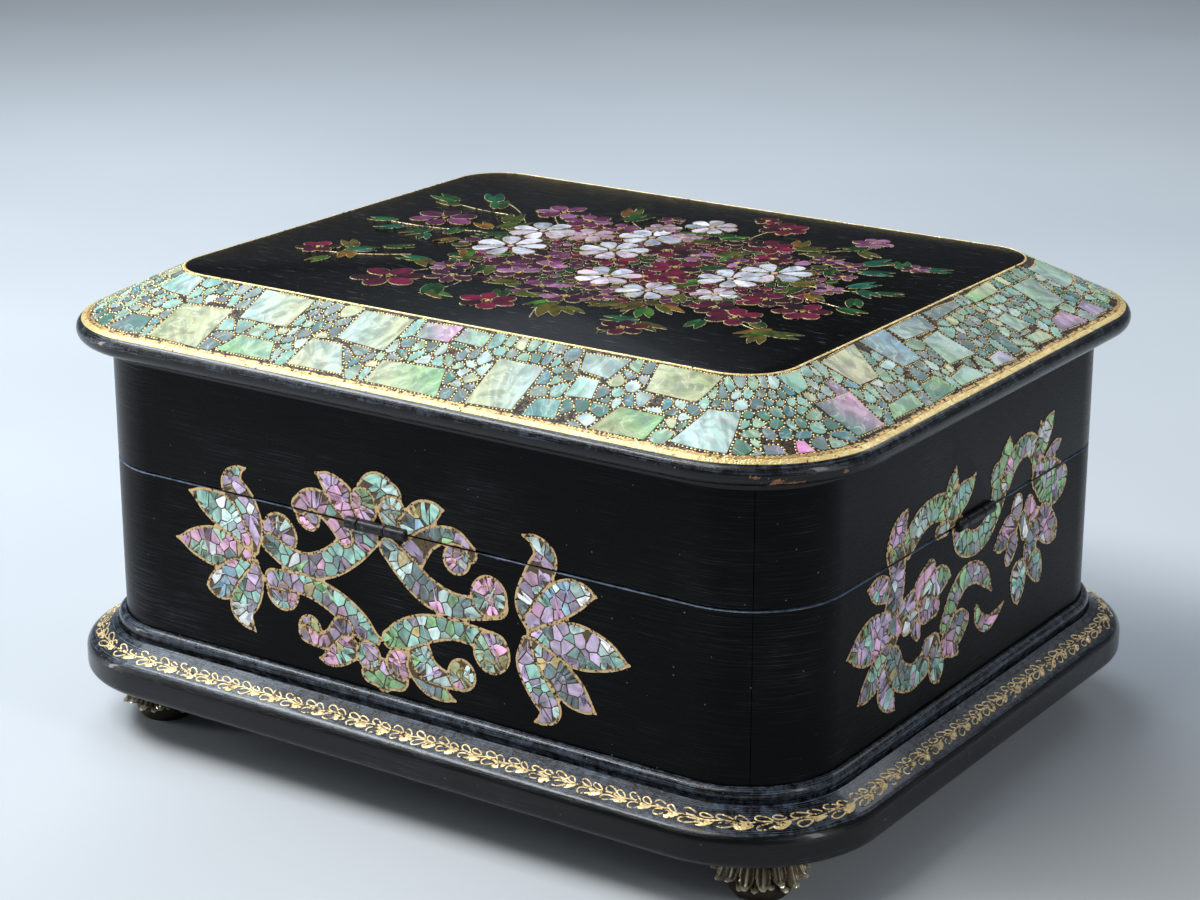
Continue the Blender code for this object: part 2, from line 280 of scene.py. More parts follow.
def add_swept(
    name, profile, finishes, body, closed=False, zone_of=None, caps=(0, 0), worn=None, replaces=(),
):
    """Carries a profile of (outset, height[, corner radius]) round the box, from its outer face upwards.

    Point (profile station i, outline station j) lies at rounded(p_j, outset_i, radius_i), height_i. The
    ends are flat faces unless the profile is closed. Outer wall faces get the corners' fine joint.
    """
    outset = np.array([point[0] for point in profile])[:, None]
    height = np.array([point[1] for point in profile])[:, None]
    radius = np.array([point[2] if len(point) > 2 else CORNER + point[0] for point in profile])[:, None]
    p = stations()[None, :]
    joint = np.isin(p, HAIRLINES) & (np.abs(outset) < EDGE_ROUND / 4)
    x, y = rounded(p, outset - HAIRLINE_DEPTH * joint, radius)
    points = np.stack([x, y, height + 0 * x], -1).reshape(-1, 3)
    rows, columns = x.shape
    faces = [grid_faces(rows, columns, wrap_rows=closed)]
    if not closed:
        faces.append(np.arange(columns)[None, ::-1])
        faces.append((rows - 1) * columns + np.arange(columns)[None, :])
    steps = np.hypot(np.diff(outset[:, 0]), np.diff(height[:, 0]))
    length = np.concatenate([[0], np.cumsum(steps)])
    lay = np.stack(np.broadcast_arrays(p, length[:, None]), -1).reshape(-1, 2)
    # The wear attribute marks rubbed edges and, on the seam, shelf and nose, painted highlight and sheen
    wear_and_sheen = np.zeros(rows) if worn is None else worn(outset[:, 0], height[:, 0])
    attributes = {"wear_and_sheen": ("FLOAT", "value", np.repeat(wear_and_sheen, columns))}
    zones = None
    if zone_of is not None:
        band = np.repeat([zone_of(row) for row in range(rows - (not closed))], columns)
        zones = np.concatenate([band, caps])
    return add_piece(name, points, faces, finishes, body, replaces, lay, attributes, zones)


# Shards of shell: cells between seeds, in flat millimetres


def scattered(low, high, pitch, chance):
    """Seeds on a grid of offset rows, each moved by up to a third of the pitch."""
    column, row = np.arange(low[0], high[0], pitch), np.arange(low[1], high[1], pitch * 0.87)
    u, v = np.meshgrid(column, row)
    u = u + (np.arange(len(row)) % 2)[:, None] * pitch / 2
    seeds = np.stack([u.ravel(), v.ravel()], -1)
    return seeds + chance.uniform(-0.34, 0.34, seeds.shape) * pitch


NEIGHBOURS = 22


def neighbour_lines(seeds, weights, gap, near=NEIGHBOURS):
    """Lines between a seed and its nearest ones, as unit normals and distances from the seed.

    A line lies where the squared distances to both seeds differ by their weights, less half the gap.
    """
    away = seeds[None] - seeds[:, None]
    far = np.hypot(away[..., 0], away[..., 1])
    order = np.argsort(far, axis=1)[:, 1:near + 1]
    far = np.take_along_axis(far, order, 1)
    normal = np.take_along_axis(away, order[..., None], 1) / far[..., None]
    return normal, (far ** 2 + weights[:, None] - weights[order]) / (2 * far) - gap / 2


def outlines(normal, reach, turns):
    """Edge of each cell about its seed, as (cells, turns, 2).

    Along each ray the edge is the nearest line. Where two neighbouring rays meet different lines, the
    first one's point moves to the lines' crossing, which gives the cell its sharp corners.
    """
    angle = np.linspace(0, math.tau, turns, endpoint=False)
    ray = np.stack([np.cos(angle), np.sin(angle)], -1)
    facing = normal @ ray.T
    along = np.where(facing > 1e-4, reach[..., None] / np.maximum(facing, 1e-4), FAR)
    first = along.argmin(axis=1)
    length = along.min(axis=1)
    cell = np.arange(len(normal))[:, None]
    second = np.roll(first, -1, axis=1)
    here, there = normal[cell, first], normal[cell, second]
    near, next_near = reach[cell, first], reach[cell, second]
    cross = here[..., 0] * there[..., 1] - here[..., 1] * there[..., 0]
    cross = np.where(np.abs(cross) < 1e-3, FAR, cross)
    corner_u = near * there[..., 1] - next_near * here[..., 1]
    corner_v = next_near * here[..., 0] - near * there[..., 0]
    corner = np.stack([corner_u, corner_v], -1)
    corner /= cross[..., None]
    limit = 1.4 * np.maximum(length, np.roll(length, -1, axis=1))
    sharp = (first != second) & (cross < FAR) & (np.hypot(corner[..., 0], corner[..., 1]) < limit)
    return np.where(sharp[..., None], corner, ray * length[..., None])


def softened(edge, rounds=1):
    """Rounds a cell's corners: each point moves towards its two neighbours."""
    for _ in range(rounds):
        edge = (np.roll(edge, 1, axis=1) + 2 * edge + np.roll(edge, -1, axis=1)) / 4
    return edge


def capped(edge, limit):
    """Keeps each cell's edge within a distance of its seed."""
    length = np.hypot(edge[..., 0], edge[..., 1])[..., None]
    return edge * np.minimum(1, limit / np.maximum(length, 1e-6))


def clipped(seeds, edge, field, steps=28):
    """Draws each cell's edge back along its ray to where the field first rises above zero."""
    share = np.linspace(0, 1, steps + 1)
    spots = seeds[:, None, None] + edge[:, :, None] * share[:, None]
    value = field(spots)
    outside = value > 0
    outside[..., 0] = False
    last = np.where(outside.any(-1), outside.argmax(-1), steps)
    before = np.take_along_axis(value, last[..., None] - 1, -1)[..., 0]
    after = np.take_along_axis(value, last[..., None], -1)[..., 0]
    part = np.where(after > 0, before / np.minimum(before - after, -1e-6), 1.0)
    return edge * ((last - 1 + np.clip(part, 0, 1)) / steps)[..., None]


def shard_points(seeds, edge, place, rise, bevel, tilt, chance, inner=()):
    """Low flat stones: an upright side, a narrow bevel, then rings inwards to the middle.

    Returns points, faces and each point's flat offset from its seed. Each ring is the edge drawn in by a
    distance or a share, and tilt leans the top a little, each stone its own way.
    """
    count, turns = edge.shape[:2]
    length = np.maximum(np.hypot(edge[..., 0], edge[..., 1]), 1e-3)[..., None]
    drawn_in = np.maximum(1 - bevel / length, 0.3)
    rings = [edge, edge, edge * drawn_in, *(edge * drawn_in * share for share in inner)]
    local = np.concatenate([*rings, np.zeros((count, 1, 2))], axis=1)
    lean = chance.uniform(-tilt, tilt, (count, 1, 2))
    lift = rise + (local * lean).sum(-1)
    lift[:, turns:2 * turns] -= bevel / 2
    lift[:, :turns] = -bevel / 2
    spot = seeds[:, None] + local
    points = place(spot[..., 0], spot[..., 1], lift).reshape(-1, 3)
    stride = local.shape[1]
    side = repeated(grid_faces(3 + len(inner), turns), count, stride)
    start = (2 + len(inner)) * turns
    ring = np.arange(turns)
    fan = np.stack([start + ring, start + (ring + 1) % turns, np.full(turns, stride - 1)], -1)
    under = np.arange(turns)[None, ::-1]
    return points, [side, repeated(fan, count, stride), repeated(under, count, stride)], local


def grain_of(local, chance):
    """Growth lines of the shell: the flat offsets, turned and moved at random for each stone."""
    turn = chance.uniform(0, math.tau, (len(local), 1))
    x = local[..., 0] * np.cos(turn) - local[..., 1] * np.sin(turn)
    y = local[..., 0] * np.sin(turn) + local[..., 1] * np.cos(turn)
    depth = chance.uniform(0, 90, (len(local), 1)) + 0 * x
    return np.stack([x + depth, y - depth, depth], -1) * MM


def add_shards(
    name, seeds, edge, tones, place, body, finish, chance, rise=0.16, bevel=0.12, tilt=0.012, inner=(),
):
    """Shards of shell with a colour of their own, or one that changes across each of them.

    tones is one linear colour for each shard, or two between which the colour passes from side to side.
    """
    points, faces, local = shard_points(seeds, edge, place, rise, bevel, tilt, chance, inner)
    tones = np.asarray(tones, float)
    if tones.ndim == 2:
        tones = np.repeat(tones[:, None], 2, axis=1)
    reach = np.abs(local).max(axis=1, keepdims=True)
    across = 0.5 + 0.62 * local[..., 0] / reach[..., 0] + 0.25 * local[..., 1] / reach[..., 1]
    across = np.clip(across, 0, 1)[..., None]
    tint = tones[:, None, 0] * (1 - across) + tones[:, None, 1] * across
    tint = np.concatenate([tint, np.ones((*tint.shape[:2], 1))], -1)
    attributes = {
        "tint": ("FLOAT_COLOR", "color", tint),
        "grain": ("FLOAT_VECTOR", "vector", grain_of(local, chance)),
    }
    return add_piece(
        name, points, faces, [finish], body, attributes=attributes, sharp=25,
    )


# Fields: signed distance to drawn strokes, negative inside them


def spline(stroke, steps=12):
    """A smooth line through control points (u, v, half width), by the Catmull-Rom rule."""
    knots = np.array(stroke, float)
    ends = np.vstack([2 * knots[0] - knots[1], knots, 2 * knots[-1] - knots[-2]])
    ends[[0, -1], 2] = knots[[0, -1], 2]
    t = np.linspace(0, 1, steps, endpoint=False)[:, None]
    parts = []
    for a, b, c, d in zip(ends, ends[1:], ends[2:], ends[3:]):
        bend, twist = 2 * a - 5 * b + 4 * c - d, 3 * b - a - 3 * c + d
        parts.append(0.5 * (2 * b + (c - a) * t + bend * t ** 2 + twist * t ** 3))
    line = np.vstack([*parts, knots[-1:]])
    line[:, 2] = np.maximum(line[:, 2], 0.15)
    return line


def curl(u, v, radius, start, turns, half_width):
    """A spiral line that starts at radius and the angle start and winds inwards."""
    share = np.linspace(0, 1, 26)
    angle = math.radians(start) + math.tau * turns * share
    far = radius * (1 - share) ** 0.8
    return np.stack([u + far * np.cos(angle), v + far * np.sin(angle), half_width + 0 * share], -1)


class Field:
    """A signed distance kept on a fine grid and read between its points by linear mixing."""

    def __init__(self, low, high, step):
        self.low, self.high = np.array(low, float), np.array(high, float)
        self.step = step
        self.u = np.arange(low[0], high[0] + step, step)
        self.v = np.arange(low[1], high[1] + step, step)
        self.grid = np.meshgrid(self.u, self.v)

    def of(self, lines):
        """The least distance to the circles along the lines, less their radii."""
        value = np.full(self.grid[0].shape, FAR)
        for line in lines:
            for u, v, radius in line:
                np.minimum(value, np.hypot(self.grid[0] - u, self.grid[1] - v) - radius, out=value)
        return value

    def reader(self, value):
        """A function that gives the value at any points."""

        def read(spots):
            place = (spots - self.low) / self.step
            u = np.clip(place[..., 0], 0, len(self.u) - 1.001)
            v = np.clip(place[..., 1], 0, len(self.v) - 1.001)
            column, row = u.astype(int), v.astype(int)
            u, v = u - column, v - row
            under = value[row, column] * (1 - u) + value[row, column + 1] * u
            over = value[row + 1, column] * (1 - u) + value[row + 1, column + 1] * u
            return under * (1 - v) + over * v

        return read


BEAD_SIDES = 6
BEAD_SPACING = 3.4


def add_beads(name, seeds, edge, gap, radius, place, body, finish):
    """Strings of gold dots in the lines between shards: one near each place that a string passes.

    Points are taken all along each cell's edge, half the gap outside it. One stays in each square of a
    fine lattice, then one in each square of the same lattice moved by half a square.
    """
    length = np.maximum(np.hypot(edge[..., 0], edge[..., 1]), 1e-3)[..., None]
    line = seeds[:, None] + edge * (1 + gap / 2 / length)
    share = np.linspace(0, 1, 8, endpoint=False)[:, None]
    spots = (line[:, :, None] * (1 - share) + np.roll(line, -1, axis=1)[:, :, None] * share).reshape(-1, 2)
    for shift in (0, 0.5):
        squares = np.round(spots / (BEAD_SPACING * radius) + shift).astype(int)
        spots = spots[np.unique(squares, axis=0, return_index=True)[1]]
    angle = np.linspace(0, math.tau, BEAD_SIDES, endpoint=False)
    ring = radius * np.stack([np.cos(angle), np.sin(angle)], -1)
    local = np.concatenate([ring, np.zeros((1, 2))])
    lift = np.append(np.zeros(BEAD_SIDES) - 0.02, radius * 0.8)
    spot = spots[:, None] + local
    points = place(spot[..., 0], spot[..., 1], lift + 0 * spot[..., 0]).reshape(-1, 3)
    side = np.arange(BEAD_SIDES)
    fan = np.stack([side, (side + 1) % BEAD_SIDES, np.full(BEAD_SIDES, BEAD_SIDES)], -1)
    faces = [repeated(group, len(spots), BEAD_SIDES + 1) for group in (fan, side[None, ::-1])]
    add_piece(name, points, faces, [finish_of(finish)], body, sharp=80)


def plate(field, value, place, rise, sink):
    """A thin sheet over the grid squares inside the field, its rim drawn exactly onto the zero line.

    Returns points, faces and the grid points in use, which the sheet's two sides share.
    """
    slope_v, slope_u = np.gradient(value, field.step)
    steep = np.maximum(slope_u ** 2 + slope_v ** 2, 0.25)
    near = np.abs(value) < 0.72 * field.step
    u = field.grid[0] - np.where(near, value * slope_u / steep, 0)
    v = field.grid[1] - np.where(near, value * slope_v / steep, 0)
    rows, columns = value.shape
    squares = grid_faces(rows, columns, wrap_columns=False)
    squares = squares[((value < 0) | near).ravel()[squares].all(axis=1)]
    squares = squares[(value.ravel()[squares] < 0).any(axis=1)]
    used, squares = np.unique(squares, return_inverse=True)
    squares = squares.reshape(-1, 4)
    u, v = u.ravel()[used], v.ravel()[used]
    points = np.concatenate([place(u, v, rise), place(u, v, -sink)])
    edges = np.stack([squares, np.roll(squares, -1, axis=1)], -1).reshape(-1, 2)
    keys = np.sort(edges, axis=1)
    _, index, counts = np.unique(keys, axis=0, return_index=True, return_counts=True)
    rim = edges[index[counts == 1]]
    under = len(used)
    side = np.stack([rim[:, 0] + under, rim[:, 1] + under, rim[:, 1], rim[:, 0]], -1)
    return points, [squares, squares[:, ::-1] + under, side], used


RIDGE_TOP = 0.55
RIDGE_SINK = 0.04


def ribbon(lines, half_width, place, rise, closed):
    """Low flat-topped ridges along many lines at once, (lines, stations, 2), a little sunk at the feet."""
    count, length = lines.shape[:2]
    if closed:
        along = np.roll(lines, -1, axis=1) - np.roll(lines, 1, axis=1)
    else:
        along = np.gradient(lines, axis=1)
    along /= np.maximum(np.hypot(along[..., 0], along[..., 1]), 1e-6)[..., None]
    side = np.stack([-along[..., 1], along[..., 0]], -1)
    across = np.array([1, RIDGE_TOP, -RIDGE_TOP, -1])
    lift = np.array([-RIDGE_SINK, rise, rise, -RIDGE_SINK])
    spot = lines[:, :, None] + side[:, :, None] * (half_width * across)[:, None]
    points = place(spot[..., 0], spot[..., 1], lift + 0 * spot[..., 0]).reshape(-1, 3)
    one = grid_faces(length, 4, wrap_rows=closed)[:, ::-1]
    faces = [repeated(one, count, length * 4)]
    if not closed:
        ends = np.array([[0, 1, 2, 3], [3, 2, 1, 0]]) + np.array([[0], [4 * (length - 1)]])
        faces.append(repeated(ends, count, length * 4))
    return points, faces


# Finishes


def srgb(code):
    """Turns an sRGB hex colour into linear red, green and blue."""
    value = np.array([int(code[place:place + 2], 16) for place in (1, 3, 5)]) / 255
    return np.where(value <= 0.04045, value / 12.92, ((value + 0.055) / 1.055) ** 2.4)


def rgba(code):
    """The same with full opacity, as a colour socket takes it."""
    return (*srgb(code), 1.0)


# Marks to the metre, each from the real mark's size
BRUSH_MARKS = (48.0, 2900.0, 1.0)  # 21 mm long, 0.34 mm apart
LACQUER_CLOUDS = 30.0  # 33 mm
DUST_SPECKS = 560.0  # 1.8 mm apart at the closest
RUBBED_PATCHES = 330.0  # 3 mm
SCRATCHES = (110.0, 2600.0, 1.0)  # 9 mm long, 0.38 mm apart at the closest
GROWTH_LINES = (60.0, 170.0, 130.0)  # 6 to 17 mm: coarser than real nacre's, so that they show
NACRE_MOTTLE = 95.0  # 10 mm
NACRE_CLOUDS = 240.0  # 4 mm
GILT_CLOUDS = 260.0  # 4 mm
GILT_GAPS = 520.0  # 2 mm
CAST_GRAIN = 420.0  # 2.4 mm
IRON_GRAIN = 600.0  # 1.7 mm
PAPER_CLOUDS = 3.0  # 330 mm

SCRATCH_TURN = 0.5
WEAR_AND_SHEEN_FROM, WEAR_AND_SHEEN_FULL = 0.59, 1.30


def result_of(item):
    """The first of a node's outputs that is in use."""
    return next(socket for socket in item.outputs if socket.enabled)


def add(tree, kind, inputs=None, stops=None, **settings):
    """Adds a node: settings are its properties, inputs its values or links, stops a ramp's colours.

    kind is the node's type without ShaderNode, a colour is an sRGB hex code, and an input that is given
    a node is linked to its result.
    """
    item = tree.nodes.new("ShaderNode" + kind)
    for key, value in settings.items():
        setattr(item, key, value)
    for key, value in (inputs or {}).items():
        if isinstance(value, bpy.types.Node):
            value = result_of(value)
        if isinstance(value, bpy.types.NodeSocket):
            tree.links.new(value, item.inputs[key])
        else:
            item.inputs[key].default_value = rgba(value) if isinstance(value, str) else value
    if stops:
        while len(item.color_ramp.elements) < len(stops):
            item.color_ramp.elements.new(0.5)
        for element, (position, code) in zip(item.color_ramp.elements, stops):
            element.position = position
            element.color = rgba(code)
    return item


def connect(tree, shader, colour, rough, bump):
    """Leads the results of a colour, a roughness and a bump into the shader."""
    for key, item in (("Base Color", colour), ("Roughness", rough), ("Normal", bump)):
        tree.links.new(result_of(item), shader.inputs[key])


def new_finish(name, **values):
    """A material with its shader's constant values set. Returns it, its node tree and the shader."""
    finish = bpy.data.materials.new(name)
    finish.use_nodes = True
    shader = finish.node_tree.nodes["Principled BSDF"]
    for key, value in values.items():
        shader.inputs[key.replace("_", " ")].default_value = value
    return finish, finish.node_tree, shader


def lacquer_finish(name, gloss, chips=(), scratched=0.0, haze=1.0):
    """Papier-mache japanned in oil black: many brushed coats rubbed down to a soft gloss.

    The brush leaves long faint streaks along the wall, edges rub through to blue-grey, specks of dust sit
    on it, and chips, each (x, y, z, radius), show the reddish-brown pulp and bole underneath. The same
    blue-grey is also painted where edges and the shelf catch the light, as painted highlight and sheen. A
    level face can be scratched: short pale strokes, all nearly one way. Less haze makes the streaks darker.
    """
    finish, tree, shader = new_finish(
        name, Coat_Weight=gloss, Coat_Roughness=0.08, Specular_IOR_Level=gloss,
    )
    place = add(tree, "TexCoord")
    spot = place.outputs["Object"]
    along = add(tree, "Mapping", {"Vector": place.outputs["UV"], "Scale": BRUSH_MARKS})
    streak = add(tree, "TexNoise", {"Vector": along, "Scale": 1.0, "Detail": 4.0, "Roughness": 0.7})
    cloud = add(tree, "TexNoise", {"Vector": spot, "Scale": LACQUER_CLOUDS, "Detail": 3.0})
    both = add(tree, "Math", {0: cloud, 1: 0.45, 2: streak}, operation="MULTIPLY_ADD")
    level = add(tree, "Math", {0: both, 1: haze}, operation="MULTIPLY")
    tone = add(tree, "ValToRGB", {"Fac": level}, [
        (0.64, "#030303"), (0.78, "#080707"), (0.90, "#1B1B1D"), (0.98, "#38393D"),
    ])
    fleck = add(tree, "TexVoronoi", {"Vector": spot, "Scale": DUST_SPECKS})
    rare = add(tree, "SeparateColor", {"Color": fleck.outputs["Color"]})
    size = add(tree, "Math", {0: rare, 1: 2.0, 2: -1.84}, operation="MULTIPLY_ADD")
    dust = add(tree, "Math", {0: fleck, 1: size}, operation="LESS_THAN")
    dusty = add(tree, "Mix", {"Factor": dust, "A": tone, "B": "#55585C"}, data_type="RGBA")
    wear_and_sheen_amount = add(tree, "Attribute", attribute_name="wear_and_sheen")
    patch = add(
        tree, "TexNoise", {"Vector": spot, "Scale": RUBBED_PATCHES, "Detail": 6.0, "Roughness": 0.75},
    )
    grained = add(tree, "Math", {0: patch, 1: streak}, operation="ADD")
    wear_and_sheen_mix = add(tree, "Math", {0: wear_and_sheen_amount.outputs["Fac"], 1: grained}, operation="MULTIPLY")
    wear_and_sheen_mix = add(tree, "MapRange", {"Value": wear_and_sheen_mix, "From Min": WEAR_AND_SHEEN_FROM, "From Max": WEAR_AND_SHEEN_FULL})
    # Blue-grey of rubbed edges, also painted as highlight on the seam and nose and as sheen on the shelf
    colour = add(tree, "Mix", {"Factor": wear_and_sheen_mix, "A": dusty, "B": "#8394AA"}, data_type="RGBA")
    rough = add(tree, "MapRange", {
        "Value": streak, "From Min": 0.3, "From Max": 0.7,
        "To Min": 0.22 - 0.25 * gloss, "To Max": 0.36 - 0.35 * gloss,
    })
    height = add(tree, "Math", {0: patch, 1: 3 * gloss, 2: streak}, operation="MULTIPLY_ADD")
    if scratched:
        strokes = add(
            tree, "Mapping", {"Vector": spot, "Rotation": (0, 0, SCRATCH_TURN), "Scale": SCRATCHES},
        )
        stroke = add(tree, "TexNoise", {"Vector": strokes, "Scale": 1.0, "Detail": 2.0, "Distortion": 0.4})
        cut = add(
            tree, "MapRange", {"Value": stroke, "From Min": 0.67, "From Max": 0.75, "To Max": scratched},
        )
        colour = add(tree, "Mix", {"Factor": cut, "A": colour, "B": "#6A6E74"}, data_type="RGBA")
    flat = add(tree, "VectorMath", {0: spot, 1: (1, 1, CHIP_FLATNESS)}, operation="MULTIPLY")
    for x, y, z, radius in chips:
        centre = (x * MM, y * MM, z * MM * CHIP_FLATNESS)
        gap = add(tree, "VectorMath", {0: flat, 1: centre}, operation="DISTANCE")
        ragged = add(
            tree, "Math", {0: patch, 1: 8.0 * radius * MM, 2: -3.2 * radius * MM}, operation="MULTIPLY_ADD",
        )
        chip = add(tree, "Math", {0: gap, 1: ragged}, operation="LESS_THAN")
        pulp = add(tree, "ValToRGB", {"Fac": streak}, [(0.35, "#3E2218"), (0.62, "#A97650")])
        colour = add(tree, "Mix", {"Factor": chip, "A": colour, "B": pulp}, data_type="RGBA")
        height = add(tree, "Math", {0: chip, 1: -1.5, 2: height}, operation="MULTIPLY_ADD")
    bump = add(tree, "Bump", {"Height": height, "Strength": 0.10 + 1.4 * gloss, "Distance": 0.0003})
    connect(tree, shader, colour, rough, bump)
    return finish


def pearl_finish(name, shift, depth, gloss):
    """Sheets of polished nacre, tinted from behind and lacquered over.

    Each shard has its own tint, wavy growth lines that darken it by depth, soft clouds in which the nacre
    shifts towards rose, green and blue by the share shift, and a few pale veins, which are partly the
    nacre's figure and partly a painted sheen.
    """
    finish, tree, shader = new_finish(
        name, Coat_Weight=gloss, Coat_Roughness=0.10, Specular_IOR_Level=2 * gloss,
    )
    tint = add(tree, "Attribute", attribute_name="tint")
    grain = add(tree, "Attribute", attribute_name="grain")
    lines = add(tree, "Mapping", {"Vector": grain.outputs["Vector"], "Scale": GROWTH_LINES})
    growth = add(tree, "TexNoise", {"Vector": lines, "Scale": 1.0, "Detail": 2.0, "Distortion": 1.8})
    mottle = add(
        tree, "TexNoise",
        {"Vector": grain.outputs["Vector"], "Scale": NACRE_MOTTLE, "Detail": 2.0, "Distortion": 2.4},
    )
    both = add(tree, "Math", {0: growth, 1: mottle}, operation="ADD")
    light = add(
        tree, "MapRange",
        {"Value": both, "From Min": 0.76, "From Max": 1.24, "To Min": 1 - depth, "To Max": 1 + 0.6 * depth},
    )
    lit = add(tree, "VectorMath", {0: tint.outputs["Color"], "Scale": light}, operation="SCALE")
    cloud = add(
        tree, "TexNoise",
        {"Vector": grain.outputs["Vector"], "Scale": NACRE_CLOUDS, "Detail": 2.0, "Distortion": 1.2},
    )
    play = add(tree, "ValToRGB", {"Fac": cloud}, [
        (0.34, "#A9789A"), (0.42, "#93A37A"), (0.50, "#6A9A88"), (0.58, "#8890AC"), (0.68, "#BDBBA4"),
    ])
    base = add(tree, "Mix", {"Factor": shift, "A": lit, "B": play}, data_type="RGBA")
    # Pale veins: partly the nacre's figure, partly a painted sheen
    vein_and_sheen = add(
        tree, "ValToRGB", {"Fac": mottle}, [(0.525, "#000000"), (0.545, "#FFFFFF"), (0.575, "#000000")],
    )
    pale_vein_and_sheen = add(tree, "Math", {0: vein_and_sheen, 1: 1.6 * shift}, operation="MULTIPLY")
    base = add(tree, "Mix", {"Factor": pale_vein_and_sheen, "A": base, "B": "#D9DDCF"}, data_type="RGBA")
    rough = add(tree, "MapRange", {"Value": growth, "To Min": 0.24, "To Max": 0.44})
    bump = add(tree, "Bump", {"Height": growth, "Strength": 0.16, "Distance": 0.0003})
    connect(tree, shader, base, rough, bump)
    return finish


def gold_finish(name, bright, deep, tick, ticked, worn, rim=None):
    """Shell gold laid in size: grains of gold with dark size between them, rubbed thin in places.

    tick is the grains' pitch in millimetres, ticked the share of dark grains, worn how far it has gone.
    With a rim, the gold thins out that many millimetres inside the edge.
    """
    finish, tree, shader = new_finish(name, Metallic=0.45, Specular_IOR_Level=0.5)
    spot = add(tree, "TexCoord").outputs["Object"]
    bead = add(tree, "TexVoronoi", {"Vector": spot, "Scale": 1 / (tick * MM), "Randomness": 0.85})
    split = add(tree, "SeparateColor", {"Color": bead.outputs["Color"]})
    dark = add(tree, "Math", {0: split, 1: ticked}, operation="LESS_THAN")
    round_off = add(
        tree, "MapRange", {"Value": bead, "From Min": 0.22, "From Max": 0.62, "To Min": 1.0, "To Max": 0.0},
    )
    cloud = add(tree, "TexNoise", {"Vector": spot, "Scale": GILT_CLOUDS, "Detail": 4.0})
    gold = add(tree, "Mix", {"Factor": cloud, "A": deep, "B": bright}, data_type="RGBA")
    speck = add(tree, "Math", {0: dark, 1: round_off}, operation="MULTIPLY")
    bare = add(tree, "TexNoise", {"Vector": spot, "Scale": GILT_GAPS, "Detail": 3.0, "Roughness": 0.7})
    gone = add(
        tree, "MapRange",
        {"Value": bare, "From Min": worn, "From Max": worn + 0.06, "To Min": 1.0, "To Max": 0.0},
    )
    lost = add(tree, "Math", {0: speck, 1: gone}, operation="MAXIMUM")
    if rim is not None:
        inset = add(tree, "Attribute", attribute_name="inset")
        inner = add(
            tree, "MapRange",
            {"Value": inset.outputs["Fac"], "From Min": rim - 0.2, "From Max": rim + 0.2, "To Max": 0.85},
        )
        lost = add(tree, "Math", {0: lost, 1: inner}, operation="MAXIMUM")
    base = add(tree, "Mix", {"Factor": lost, "A": gold, "B": "#171009"}, data_type="RGBA")
    rough = add(tree, "MapRange", {"Value": lost, "To Min": 0.34, "To Max": 0.6})
    bump = add(tree, "Bump", {"Height": round_off, "Strength": 0.5, "Distance": 0.0002})
    connect(tree, shader, base, rough, bump)
    return finish


def brass_finish():
    """Cast brass gone brown: pale on the crests of the leaves and nearly black in the hollows, partly rub
    and patina and partly painted highlight and shade.
    """
    finish, tree, shader = new_finish("antique_cast_brass", Metallic=0.55)
    spot = add(tree, "TexCoord").outputs["Object"]
    # Pale crests and dark hollows: patina and painted highlight and shade
    crest = add(tree, "Attribute", attribute_name="relief_patina_and_shading")
    cloud = add(tree, "TexNoise", {"Vector": spot, "Scale": CAST_GRAIN, "Detail": 4.0})
    mixed = add(tree, "Math", {0: cloud, 1: 0.5, 2: -0.25}, operation="MULTIPLY_ADD")
    level = add(tree, "Math", {0: crest.outputs["Fac"], 1: mixed}, operation="ADD")
    tone = add(tree, "ValToRGB", {"Fac": level}, [
        (0.12, "#17120E"), (0.40, "#4A4030"), (0.62, "#A89A7A"), (0.88, "#F2E8CC"),
    ])
    rough = add(tree, "MapRange", {"Value": level, "To Min": 0.55, "To Max": 0.22})
    bump = add(tree, "Bump", {"Height": cloud, "Strength": 0.25, "Distance": 0.0002})
    connect(tree, shader, tone, rough, bump)
    return finish


def iron_finish():
    """Turned iron blackened in oil: near black, with a satin gleam and fine turning marks."""
    finish, tree, shader = new_finish("blackened_iron", Metallic=0.6)
    spot = add(tree, "TexCoord").outputs["Object"]
    cloud = add(tree, "TexNoise", {"Vector": spot, "Scale": IRON_GRAIN, "Detail": 4.0})
    tone = add(tree, "ValToRGB", {"Fac": cloud}, [(0.3, "#141315"), (0.6, "#2C2B2F"), (0.78, "#6A6468")])
    rough = add(tree, "MapRange", {"Value": cloud, "To Min": 0.25, "To Max": 0.5})
    bump = add(tree, "Bump", {"Height": cloud, "Strength": 0.15, "Distance": 0.0002})
    connect(tree, shader, tone, rough, bump)
    return finish


def floor_finish():
    """Pale matt studio paper."""
    finish, tree, shader = new_finish("studio_paper", Specular_IOR_Level=0.1)
    spot = add(tree, "TexCoord").outputs["Object"]
    cloud = add(tree, "TexNoise", {"Vector": spot, "Scale": PAPER_CLOUDS})
    tone = add(tree, "ValToRGB", {"Fac": cloud}, [(0.3, "#ABAFB3"), (0.7, "#B3B7BA")])
    tree.links.new(result_of(tone), shader.inputs["Base Color"])
    shader.inputs["Roughness"].default_value = 0.9
    return finish


FINISHES = {}


